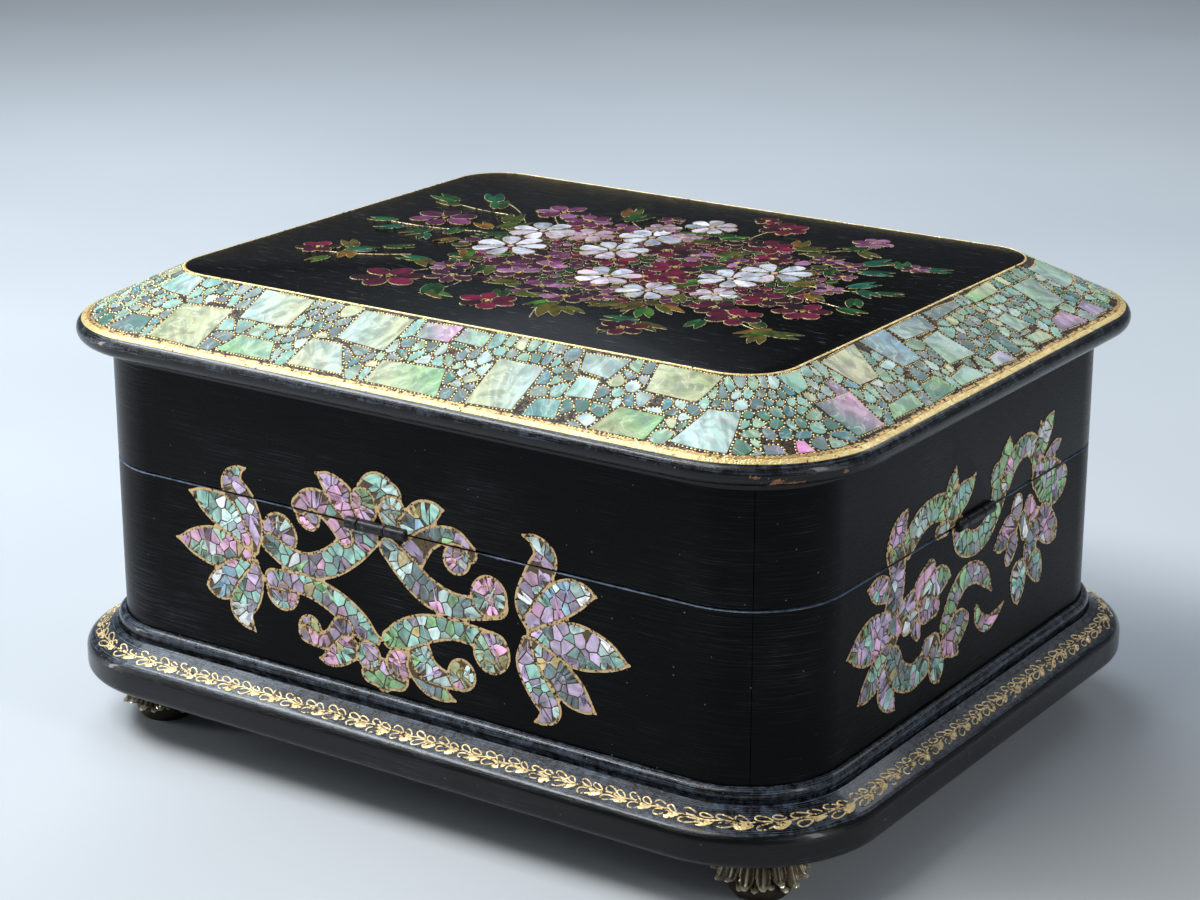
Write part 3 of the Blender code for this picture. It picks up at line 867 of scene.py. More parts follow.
def finish_of(name):
    """Each finish is made once, when a piece first asks for it."""
    makers = {
        "lacquer": (lacquer_finish, "black_japanned_lacquer", 0.05),
        "panel": (lacquer_finish, "scratched_panel_lacquer", 0.02, (), 0.6, 0.86),
        "polished": (lacquer_finish, "rubbed_moulding_lacquer", 0.20),
        "rim": (lacquer_finish, "chipped_rim_lacquer", 0.22, RIM_CHIPS),
        "pearl": (pearl_finish, "mother_of_pearl", 0.22, 0.46, 0.04),
        "scale": (pearl_finish, "scroll_shell", 0.20, 0.50, 0.16),
        "petal": (pearl_finish, "petal_nacre", 0.05, 0.50, 0.04),
        "stained": (pearl_finish, "stained_petal_nacre", 0.0, 0.62, 0.03),
        "ground": (gold_finish, "beaded_gold_ground", "#5E4624", "#2E2010", 0.8, 0.90, 0.47),
        "leaf": (gold_finish, "gold_leaf", "#E9D598", "#C49E56", 0.9, 0.05, 0.30),
        "bead": (gold_finish, "gold_beads", "#F4DE9C", "#D2A658", 0.9, 0.0, 0.20),
        "ticked": (gold_finish, "ticked_gold", "#D4B070", "#9A723A", 1.1, 0.30, 0.37),
        "scroll": (
            gold_finish, "scroll_rim_gold", "#E8CB98", "#B88E56", 1.0, 0.42, 0.37, length_of("rim_width"),
        ),
        "outline": (gold_finish, "petal_outline_gold", "#DCCB98", "#A08850", 0.7, 0.25, 0.42),
        "vine": (gold_finish, "vine_gold", "#EFD9A4", "#BF9A5E", 0.9, 0.15, 0.40), "brass": (brass_finish,),
        "iron": (iron_finish,), "floor": (floor_finish,),
    }
    if name not in FINISHES:
        maker, *values = makers[name]
        FINISHES[name] = maker(*values)
    return FINISHES[name]


TONES = {
    "sage": "#88A68C", "aqua": "#7AA598", "mist": "#9BAEA8", "slate": "#56676A", "pine": "#36655A",
    "cream": "#ADAF88", "olive": "#8F9462", "lime": "#77A36C", "grey": "#7A8984", "ice": "#A9C0BC",
    "lilac": "#A68FAE", "rose": "#C08CAC", "fuchsia": "#E07CC6", "mauve": "#7C6A82", "plum": "#6E4462",
    "blue": "#7394A8", "teal": "#3A7079", "tan": "#AFA382", "white": "#CDCFD0", "straw": "#A8935A",
}


def tones_of(names):
    """Linear colours of named tones."""
    return np.array([srgb(TONES[name]) for name in names])


def length_of(key):
    """A size from the panel, in millimetres."""
    return getattr(bpy.context.scene.jewelry_box, key) / MM


# Walls, plinth and lid

CHIP_FLATNESS = 2.6
RIM_CHIPS = (
    (127.5, -116.0, 137.4, 1.6),
    (131.8, -112.0, 136.2, 2.6),
    (134.4, -109.4, 135.4, 1.8),
    (137.6, -106.0, 135.6, 1.2),
    (144.6, -95.2, 136.9, 1.0),
)

# How far edges are rubbed, and how strongly the seam, shelf and nose are also painted pale as highlight and
# sheen: 0.6 begins to show in places, 1.3 is pale all over
BODY_EDGE_WEAR_AND_HIGHLIGHT = 0.84
LID_EDGE_WEAR_AND_HIGHLIGHT = 0.6
SHELF_SHEEN_AND_WEAR = 0.64
LOWER_EDGE_WEAR = 0.54
NOSE_WEAR_AND_HIGHLIGHT = 0.60
SHELF_DROP = 10.1


def barrel_axis(low, high):
    """The middle of a seam barrel's axis, whether it lies along X, and the sign of its side."""
    along_x = high[0] - low[0] > high[1] - low[1]
    outer = 1 if along_x else 0
    axis = (low + high) / 2
    sign = 1 if axis[outer] > 0 else -1
    axis[outer] = sign * (max(abs(low[outer]), abs(high[outer])) - BARREL_RADIUS)
    axis[2] = SEAM
    return axis, along_x, sign


def seam_barrels(body):
    """The barrels in the seam, as (low corner, high corner, whether a leaf of it lies in this body)."""
    catches = [(*corners(name), body == "box") for name in CATCHES]
    return catches + [(*corners(name + "_body_leaf"), True) for name in HINGES]


def prism(name, points, faces):
    """A scratch solid for a cut."""
    mesh = bpy.data.meshes.new(name)
    mesh.from_pydata(
        (points * MM).tolist(), [], [face for group in faces for face in np.asarray(group).tolist()],
    )
    item = bpy.data.objects.new(name, mesh)
    bpy.context.scene.collection.objects.link(item)
    return item


def rod_solid(centre, along_x, length, radius, sides=32):
    """A round rod: a circle carried along X, or along Y."""
    angle = np.linspace(0, math.tau, sides, endpoint=False)
    ends = np.array([-length / 2, length / 2])[:, None]
    ring = (ends + 0 * angle, radius * np.cos(angle) + 0 * ends, radius * np.sin(angle) + 0 * ends)
    if not along_x:
        ring = (-ring[1], ring[0], ring[2])
    points = np.stack(ring, -1).reshape(-1, 3) + centre
    caps = [np.arange(sides)[None, :], sides + np.arange(sides)[None, ::-1]]
    return prism("rod", points, [grid_faces(2, sides)[:, ::-1], *caps])


def box_solid(low, high):
    """A block between two corners: a rectangle's four corners, below and above."""
    outline = [(low[0], low[1]), (high[0], low[1]), (high[0], high[1]), (low[0], high[1])]
    points = np.array([(x, y, z) for z in (low[2], high[2]) for x, y in outline])
    return prism("block", points, [grid_faces(2, 4), [[3, 2, 1, 0], [4, 5, 6, 7]]])


def cut_beds(item, body):
    """Lets the barrels, and the leaves that belong to this body, into the edge at the seam."""
    side = -1 if body == "box" else 1
    tools = []
    for low, high, leafed in seam_barrels(body):
        axis, along_x, sign = barrel_axis(low, high)
        outer = 1 if along_x else 0
        length = (high - low)[1 - outer] + 2 * FIT_GAP
        tools.append(rod_solid(axis, along_x, length, BARREL_RADIUS + FIT_GAP))
        if leafed:
            near, far = axis.copy(), axis.copy()
            near[1 - outer] -= length / 2
            far[1 - outer] += length / 2
            near[outer] = sign * (min(abs(low[outer]), abs(high[outer])) - FIT_GAP)
            far[2] = SEAM + side * (2 * FIT_GAP + LEAF_THICKNESS)
            tools.append(box_solid(np.minimum(near, far), np.maximum(near, far)))
    for tool in tools:
        modifier = item.modifiers.new("bed", "BOOLEAN")
        modifier.operation = "DIFFERENCE"
        modifier.object = tool
    graph = bpy.context.evaluated_depsgraph_get()
    mesh = bpy.data.meshes.new_from_object(item.evaluated_get(graph))
    item.modifiers.clear()
    item.data = mesh
    mesh.set_sharp_from_angle(angle=math.radians(SHARP_ANGLE))
    for tool in tools:
        bpy.data.objects.remove(tool)


def body_profile():
    """Up the outer face, over the rounded top edge and down inside to the floor."""
    top, inner = BODY_HIGH[2], -WALL
    return [
        (0, BODY_LOW[2]), *arc((-EDGE_ROUND, top - EDGE_ROUND), EDGE_ROUND, 0, 90, 4),
        *arc((inner + EDGE_ROUND, top - EDGE_ROUND), EDGE_ROUND, 90, 180, 4), (inner, BODY_LOW[2] + FLOOR),
    ]


def lid_frame_profile():
    """From the rounded outer bottom edge up the outer face, over the top and down inside."""
    inner, bottom, top = -WALL, LID_LOW[2], LID_HIGH[2]
    return [
        *arc((-EDGE_ROUND, bottom + EDGE_ROUND), EDGE_ROUND, -90, 0, 4), (0, top), (inner, top),
        *arc((inner + EDGE_ROUND, bottom + EDGE_ROUND), EDGE_ROUND, 180, 270, 4),
    ]


def plinth_profile():
    """From the underside, over the fascia, rounded edge, shelf, groove and bead, into the tray."""
    bottom, top = PLINTH_LOW[2], PLINTH_HIGH[2]
    edge = arc(
        (PLINTH_OUTSET - EDGE_RADIUS, top - EDGE_DROP), EDGE_RADIUS, 0, 90 - math.degrees(SHELF_SLOPE),
    )
    start = GROOVE_OUTSET + GROOVE_WIDTH
    shelf = edge[-1][1] + (edge[-1][0] - start) * math.tan(SHELF_SLOPE)
    return [
        *arc((PLINTH_OUTSET - UNDER_ROUND, bottom + UNDER_ROUND), UNDER_ROUND, -90, 0, 7), *edge,
        (start, shelf), (GROOVE_OUTSET, shelf - GROOVE_DEPTH),
        *arc((BEAD_OUTSET, top - BEAD_RADIUS), BEAD_RADIUS, -50, 90, 14), (FIT_GAP, top),
        (FIT_GAP, bottom + PLINTH_BOARD),
    ]


def lid_top_profile():
    """From the ceiling down inside, out under the rim, round the nose and up to the panel."""
    ceiling = PANEL_HEIGHT - LID_BOARD
    inner_height = RIM_HEIGHT + (RIM_OUT + WALL) * math.tan(BEVEL) - LID_BOARD / math.cos(BEVEL)
    ceiling_out = -WALL - (ceiling - inner_height) / math.tan(BEVEL)
    bottom = TOP_LOW[2]
    return [
        (ceiling_out, ceiling, PANEL_RADIUS), (-WALL, inner_height), (-WALL, bottom),
        (FILLET_OUTSET, bottom),
        *arc((FILLET_OUTSET + COVE_RADIUS, bottom + FILLET_HEIGHT), COVE_RADIUS, 180, 90, 8),
        *arc((OVERHANG - NOSE_RADIUS, NOSE_HEIGHT), NOSE_RADIUS, -90, 90 - math.degrees(BEVEL), 18),
        (PANEL_OUT, PANEL_HEIGHT, PANEL_RADIUS),
    ]


def add_walls():
    """Body and lid frame, each rubbed along its edge at the seam, the rub also a painted highlight, with
    beds cut for the barrels.
    """
    near_edge = EDGE_ROUND * 0.9

    # The pale line at the seam is partly a rubbed edge and partly a painted highlight
    def body_wear_and_highlight(outset, height):
        return BODY_EDGE_WEAR_AND_HIGHLIGHT * ((height > BODY_HIGH[2] - near_edge) & (outset > -WALL / 2))

    def lid_wear_and_highlight(outset, height):
        return LID_EDGE_WEAR_AND_HIGHLIGHT * (height < LID_LOW[2] + near_edge)

    lacquer = [finish_of("lacquer")]
    body = add_swept(
        "body_lacquer", body_profile(), lacquer, "box", worn=body_wear_and_highlight,
        replaces=("box_body",),
    )
    cut_beds(body, "box")
    lid = add_swept(
        "lid_wall_lacquer", lid_frame_profile(), lacquer, "lid", closed=True,
        worn=lid_wear_and_highlight, replaces=("lid_frame",),
    )
    cut_beds(lid, "lid")


def add_plinth():
    """The plinth, with wear and a painted blue-grey sheen on its shelf and bead, and rubbed along its lower
    edge.
    """
    shelf, lower_edge = PLINTH_HIGH[2] - SHELF_DROP, PLINTH_LOW[2] + UNDER_ROUND + FIT_GAP

    # The shelf and bead get wear and a painted blue-grey sheen; the lower edge gets wear only
    def wear_and_sheen(outset, height):
        return SHELF_SHEEN_AND_WEAR * (height > shelf) + LOWER_EDGE_WEAR * (height < lower_edge)

    add_swept(
        "plinth_lacquer", plinth_profile(), [finish_of("polished")], "box", worn=wear_and_sheen,
        replaces=("plinth",),
    )


def add_lid_top():
    """The lid's board: a chipped rim, rubbed and painted with a pale highlight on its nose, gold ground on
    the bevel, a scratched panel.
    """
    profile = lid_top_profile()
    bevel = len(profile) - 2

    # The nose's upper half gets wear and a painted highlight
    def wear_and_sheen(outset, height):
        return NOSE_WEAR_AND_HIGHLIGHT * (outset > OVERHANG - NOSE_RADIUS) * (height > NOSE_HEIGHT)

    add_swept(
        "lid_top_board", profile, [finish_of("rim"), finish_of("ground"), finish_of("panel")], "lid",
        zone_of=lambda row: int(row == bevel), caps=(2, 2), worn=wear_and_sheen,
        replaces=("lid_top",),
    )


# Mosaic on the lid's border

# Slabs as (bottom from, to, top from, to, low, high, tone, second tone), read along the border.
FRONT_SLABS = (
    (-97, -76, -98, -77, 4, 22, "olive", "cream"),
    (-74, -52, -74, -52, 19, 34, "mist", "cream"),
    (-70, -47, -66, -52, 4, 13, "lime", "sage"),
    (-40, -17, -40, -28, 4, 18, "cream", "mist"),
    (-31, -11, -32, -10, 18, 34, "mist", "cream"),
    (-4, 9, -5, 9, 26, 34, "grey", "rose"),
    (10, 22, 10, 23, 26, 34, "grey", "sage"),
    (-9, 20, -9, 16, 4, 15, "cream", "lime"),
    (28, 47, 29, 47, 4, 25, "cream", "mist"),
    (50, 62, 52, 60, 4, 12, "teal", "aqua"),
    (60, 70, 57, 76, 24, 34, "mist", "grey"),
    (60, 70, 60, 68, 14, 23, "aqua", "ice"),
    (84, 104, 84, 112, 21, 34, "cream", "olive"),
    (72, 93, 80, 95, 4, 15, "olive", "lime"),
    (101, 116, 108, 120, 4, 21, "ice", "mist"),
    (-114, -101, -112, -103, 4, 13, "slate", "pine"),
    (-120, -101, -120, -101, 25, 34, "aqua", "ice"),
)
CORNER_SLABS = (
    (142, 149, 138, 155, 26, 34, "aqua", "sage"),
    (124, 130, 125, 128, 1, 8, "slate", "mauve"),
    (132, 137, 133, 136, 1, 8, "fuchsia", "rose"),
    (151, 165, 146, 165, 4, 20, "pine", "rose"),
    (159, 165, 158, 164, 20, 26, "plum", "mauve"),
)
RIGHT_SLABS = (
    (171, 184, 166, 190, 19, 34, "tan", "cream"),
    (169, 188, 174, 189, 4, 11, "lime", "sage"),
    (198, 210, 193, 210, 18, 34, "grey", "blue"),
    (193, 209, 197, 207, 4, 11, "pine", "lime"),
    (212, 229, 213, 224, 4, 10, "sage", "mist"),
    (214, 232, 212, 233, 27, 34, "mist", "slate"),
    (219, 235, 219, 232, 12, 25, "sage", "mist"),
    (236, 248, 238, 247, 4, 10, "mist", "lilac"),
    (238, 257, 236, 258, 29, 34, "slate", "grey"),
    (249, 256, 250, 256, 4, 16, "pine", "slate"),
    (266, 284, 264, 286, 28, 34, "lime", "cream"),
    (265, 276, 265, 275, 4, 10, "sage", "cream"),
    (265, 275, 264, 272, 12, 20, "mist", "sage"),
    (283, 302, 287, 298, 4, 12, "mauve", "rose"),
    (293, 305, 291, 307, 14, 28, "sage", "grey"),
    (307, 317, 307, 315, 4, 12, "lilac", "mauve"),
    (315, 338, 313, 336, 18, 32, "mist", "sage"),
    (320, 328, 320, 326, 5, 12, "lime", "aqua"),
)
SMALL_TONES = (
    "aqua", "sage", "mist", "slate", "grey", "pine", "aqua", "teal", "cream", "ice", "sage", "slate",
)
BORDER_LOW = 3.1
BORDER_HIGH = 34.3
SLAB_STRAY = 1.1
SLAB_TURNS = 26
SMALL_TURNS = 16
SEED_MARGIN = 0.7
SLAB_CLEARANCE = 0.45
LEAST_REACH = 0.2
WEIGHT_SPREAD = 1.6
MOSAIC_LIGHT = (0.7, 1.15)
BEAD_SIZE = 0.33
# The slabs copied to the hidden sides: at least this wide, and from these places along the border
LEAST_HIDDEN_SLAB = 12
HIDDEN_SLABS = (-112, 318)


def slab_lines(slabs, chance):
    """Corners, unit outward normals and offsets of the slabs' four sides, each corner a little astray."""
    shape = np.array([slab[:6] for slab in slabs], float)
    bottom_from, bottom_to, top_from, top_to, low, high = shape.T
    corner = np.stack(
        [bottom_from, low, bottom_to, low, top_to, high, top_from, high], -1,
    ).reshape(-1, 4, 2)
    corner += chance.uniform(-SLAB_STRAY, SLAB_STRAY, corner.shape)
    corner[..., 1] = np.clip(corner[..., 1], BORDER_LOW, BORDER_HIGH)
    side = np.roll(corner, -1, axis=1) - corner
    normal = np.stack([side[..., 1], -side[..., 0]], -1) / np.hypot(side[..., 0], side[..., 1])[..., None]
    return corner, normal, (normal * corner).sum(-1)


def all_slabs():
    """The slabs that show, and copies of the larger ones on the two sides behind."""
    shown = [*FRONT_SLABS, *CORNER_SLABS, *RIGHT_SLABS]
    hidden = []
    for slab in shown:
        wide = slab[1] - slab[0] > LEAST_HIDDEN_SLAB
        if wide and HIDDEN_SLABS[0] < slab[0] and slab[1] < HIDDEN_SLABS[1]:
            hidden.append((*(value + ROUND / 2 for value in slab[:4]), *slab[4:]))
    return shown + hidden


def packed_cells(normal, offset, gap, chance):
    """Seeds and cells of the small shards between the slabs, each clear of the slabs and of the bands.

    A shard is the cell of its seed among its neighbours, cut off by the nearest slab's side and by the
    border's four limits.
    """
    start = -ROUND / 4
    seeds = scattered((start, BORDER_LOW), (start + ROUND, BORDER_HIGH), length_of("shard_pitch"), chance)
    seeds = seeds[(seeds[:, 1] > BORDER_LOW + SEED_MARGIN) & (seeds[:, 1] < BORDER_HIGH - SEED_MARGIN)]
    shift = np.array([[0, 0], [ROUND, 0], [-ROUND, 0]])
    moved = seeds[:, None] - shift
    away = np.einsum("msd,ned->mnse", moved.transpose(1, 0, 2), normal) - offset[:, None]
    away = away.transpose(2, 0, 1, 3).reshape(len(seeds), -1, 4)
    nearest = away.argmax(-1)
    clear = away.max(-1)
    free = clear.min(axis=1) > gap / 2 + SLAB_CLEARANCE
    seeds, nearest, clear = seeds[free], nearest[free], clear[free]
    normal = np.tile(normal, (len(shift), 1, 1))
    toward = -normal[np.arange(len(normal)), nearest]
    weights = chance.uniform(-WEIGHT_SPREAD, WEIGHT_SPREAD, len(seeds))
    lines, reach = neighbour_lines(seeds, weights, gap)
    sides = np.tile([[0.0, -1.0], [0.0, 1.0], [-1.0, 0.0], [1.0, 0.0]], (len(seeds), 1, 1))
    u, v = seeds.T
    limit = np.stack([v - BORDER_LOW, BORDER_HIGH - v, u - start, start + ROUND - u], -1)
    lines = np.concatenate([lines, toward, sides], axis=1)
    reach = np.concatenate([reach, clear - gap / 2, limit - gap / 4], axis=1)
    sound = reach.min(axis=1) > LEAST_REACH
    return seeds[sound], softened(outlines(lines[sound], reach[sound], SMALL_TURNS))


def add_mosaic():
    """Large slabs of shell with small shards packed between them, and gold beads in the lines."""
    chance = np.random.default_rng(11)
    gap = length_of("shard_gap")
    slabs = all_slabs()
    corner, normal, offset = slab_lines(slabs, chance)
    middle = corner.mean(axis=1)
    reach = offset - (normal * middle[:, None]).sum(-1) - gap / 2
    slab_edge = outlines(normal, reach, SLAB_TURNS)
    tones = np.stack([tones_of([slab[6] for slab in slabs]), tones_of([slab[7] for slab in slabs])], 1)
    add_shards(
        "border_slabs", middle, slab_edge, tones, on_bevel, "lid", finish_of("pearl"), chance, tilt=0.004,
        inner=(0.72, 0.38),
    )

    seeds, edge = packed_cells(normal, offset, gap, chance)
    drift = np.sin(seeds[:, 0] / 17.0) + np.sin(seeds[:, 0] / 7.3 + seeds[:, 1] / 5.0)
    pick = chance.integers(0, len(SMALL_TONES), len(seeds)) + np.round(2 * drift).astype(int)
    names = [SMALL_TONES[index] for index in pick % len(SMALL_TONES)]
    tones = tones_of(names) * chance.uniform(*MOSAIC_LIGHT, (len(seeds), 1))
    add_shards("border_shards", seeds, edge, tones, on_bevel, "lid", finish_of("pearl"), chance, tilt=0.03)
    even = slab_edge[:, (np.arange(SMALL_TURNS) * (SLAB_TURNS / SMALL_TURNS)).astype(int)]
    add_beads(
        "border_beads", np.vstack([seeds, middle]), np.vstack([edge, even]), gap, BEAD_SIZE, on_bevel,
        "lid", "bead",
    )


BAND_STEP = 1.1
BAND_BEVEL, BAND_RISE, BAND_SINK = 0.12, 0.14, 0.1


def add_border_gilding():
    """Gold bands along the border's two edges: low ridges whose inner sides wander a little."""
    chance = np.random.default_rng(5)
    places = np.arange(0, ROUND, BAND_STEP)
    bands = (
        ("rim_gold_line", -0.15, 1.95, 0.10, "leaf"), ("rim_gold_border", 2.0, BORDER_LOW, 0.3, "ticked"),
        ("panel_gold_line", BORDER_HIGH + 0.15, BEVEL_WIDTH + 0.1, 0.12, "leaf"),
    )
    for name, low, high, wander, finish in bands:
        low_edge = low + chance.uniform(-wander, 0, len(places)) * (low > 0)
        high_edge = high + chance.uniform(-wander, wander, len(places)) * (high < BEVEL_WIDTH)
        v = np.stack([low_edge, low_edge + BAND_BEVEL, high_edge - BAND_BEVEL, high_edge])
        lift = np.array([-BAND_SINK, BAND_RISE, BAND_RISE, -BAND_SINK])[:, None] + 0 * v
        points = on_bevel(places[None, :] + 0 * v, v, lift).reshape(-1, 3)
        faces = [grid_faces(4, len(places), wrap_rows=True)]
        add_piece(name, points, faces, [finish_of(finish)], "lid")


# Scrolls on the walls. A part is two tones and its strokes, each a list of (u, v, half width). A later
# part lies over the earlier ones. Curls are (u, v, radius, start in degrees, turns, inwards).

FRONT_SCROLLS = (
    ("lilac", "aqua", [
        (-60, 76, 1.5), (-61, 84, 4.5), (-65, 91, 6), (-69, 97, 4.5), (-66.5, 101.5, 2), (-63, 103.2, 0.4),
    ]),
    ("ice", "aqua", [(-64, 79, 3), (-72, 86, 6), (-78, 88.5, 5), (-83, 90.3, 2.6), (-87.2, 91.2, 0.4)]),
    ("sage", "rose", [
        (-61, 74, 1), (-68, 73.8, 4.5), (-76, 74, 7), (-84, 74, 5.2), (-90, 74, 2), (-93.8, 74, 0.3),
    ]),
    ("mauve", "blue", [(-62, 71, 1.5), (-68, 67, 5), (-74, 62, 5.5), (-78, 60.5, 3.2), (-81, 60, 0.6)]),
    ("lilac", "aqua", [
        (-60, 72, 1.2), (-61, 66, 4), (-64, 60, 5.5), (-67, 55, 4.6), (-64.5, 51, 2.6), (-61.3, 48.3, 0.4),
    ]),
    ("mauve", "rose", [
        (48, 73, 2), (46, 81, 4.2), (50, 90, 5), (53, 97, 4.3), (49.5, 101.5, 2.2), (45, 102.6, 0.5),
    ]),
    ("lilac", "blue", [(48, 76, 3), (56, 83, 5.5), (62, 87, 5.4), (67, 88.5, 3), (71.3, 88.6, 0.4)]),
    ("lilac", "aqua", [
        (48, 71, 2), (56, 72, 5), (64, 71.5, 7.4), (73, 71, 5.6), (79, 70, 2.6), (83.3, 69.6, 0.3),
    ]),
    ("mauve", "slate", [(48, 68, 3), (56, 62, 5), (62, 57, 5.4), (67, 53.5, 3), (71.2, 51.6, 0.4)]),
    ("aqua", "lilac", [
        (46, 69, 2), (46, 62, 4), (50, 55, 4.6), (54.5, 49, 4.2), (52, 45.2, 2), (48.8, 43.6, 0.4),
    ]),
    ("lilac", "mauve", [(-50, 84.2, 6.8), (-49, 83.6, 6.6)]),
    ("aqua", "mauve", [
        (-54, 80, 3.6), (-46, 76.3, 4.2), (-38, 75.4, 4.5), (-29, 78.6, 5), (-21, 84.5, 5.4),
        (-14.5, 90, 4.8),
    ]),
    ("rose", "mauve", [(-38.2, 92.4, 4.6), (-37.2, 91.6, 4.4)]),
    ("rose", "lilac", [(-41, 95, 3.4), (-37, 98, 3.6), (-31, 97, 4.6), (-26, 93, 4.4), (-23, 88, 3.4)]),
    ("rose", "lilac", [(-21, 97, 4), (-24, 101, 5.2), (-29, 105, 3.4), (-34.2, 107.3, 0.4)]),
    (
        "aqua", "mauve", [(-14, 105, 4), (-10, 106, 6), (-5, 105.2, 4.6)],
        [(-10, 107, 4.5), (-10, 110, 1.6), (-10, 112, 0.3)],
    ),
    ("fuchsia", "rose", [(-15.6, 101, 5.2), (-14.8, 99, 4.8)]),
    ("aqua", "mist", [(-4.2, 100.5, 5.2), (-4.6, 99.4, 5)]),
    ("aqua", "blue", [(2, 97, 4), (7, 101, 5), (11.5, 103.6, 3), (15.6, 104.6, 0.4)]),
    ("slate", "lilac", [(3, 87, 5), (8, 93, 4), (14, 96.2, 3.2), (20, 96.3, 3.2), (25, 92.5, 3.2)]),
    ("mauve", "lilac", [(20.4, 90, 5.2), (20, 89.6, 5)]),
    ("ice", "slate", [
        (-6, 88, 3.6), (0, 83.5, 4.8), (8, 77.5, 5), (18, 74.5, 4.6), (27, 75.5, 4), (35, 78, 4.4),
    ]),
    ("rose", "ice", [(32.4, 80.4, 6.8), (31.8, 80, 6.6)]),
    ("lilac", "ice", [(-49.4, 65, 6.8), (-49, 64.6, 6.6)]),
    ("mauve", "aqua", [
        (-53, 68, 3.6), (-44, 68.7, 3.6), (-36, 68.1, 4), (-27, 65.2, 4.6), (-19, 60.4, 4.8),
        (-12.5, 56.4, 2.6),
    ]),
    ("lilac", "olive", [(-38.4, 54.2, 4.8), (-38, 54, 4.6)]),
    ("rose", "mauve", [(-40, 52.4, 3.2), (-35, 51, 2.6), (-29, 52.6, 4), (-25, 57, 4.6)]),
    ("aqua", "rose", [(-23, 51, 4.6), (-27, 48, 4), (-31, 45.6, 2.4), (-34.8, 45, 0.4)]),
    (
        "lilac", "lime", [(-14, 45, 4), (-9, 45.4, 5), (-3.5, 45.4, 4.4)],
        [(-9, 46, 5), (-9, 43, 3.6), (-8.7, 40.4, 0.5)],
    ),
    ("aqua", "lilac", [(-15, 50.6, 5), (-14.6, 50.2, 4.8)]),
    ("rose", "mauve", [(-2.6, 50.2, 5.4), (-2.9, 49.8, 5.2)]),
    ("lime", "slate", [(5, 51, 5), (9, 47, 4.6), (14, 44.3, 2.6), (19, 43, 0.4)]),
    ("aqua", "ice", [(5, 57, 4.8), (8, 51.5, 4.6), (14, 49.6, 3.2), (19, 49.6, 3)]),
    ("olive", "slate", [(21.6, 52.4, 5.4), (21.2, 52, 5.2)]),
    ("aqua", "lime", [
        (-6, 58, 3.4), (0, 61, 5), (8, 64.6, 4.8), (18, 66.6, 3.7), (27, 66.2, 3.6), (35, 65, 4),
    ]),
    ("grey", "sage", [(33, 62.4, 7), (32.8, 62, 6.8)]),
)
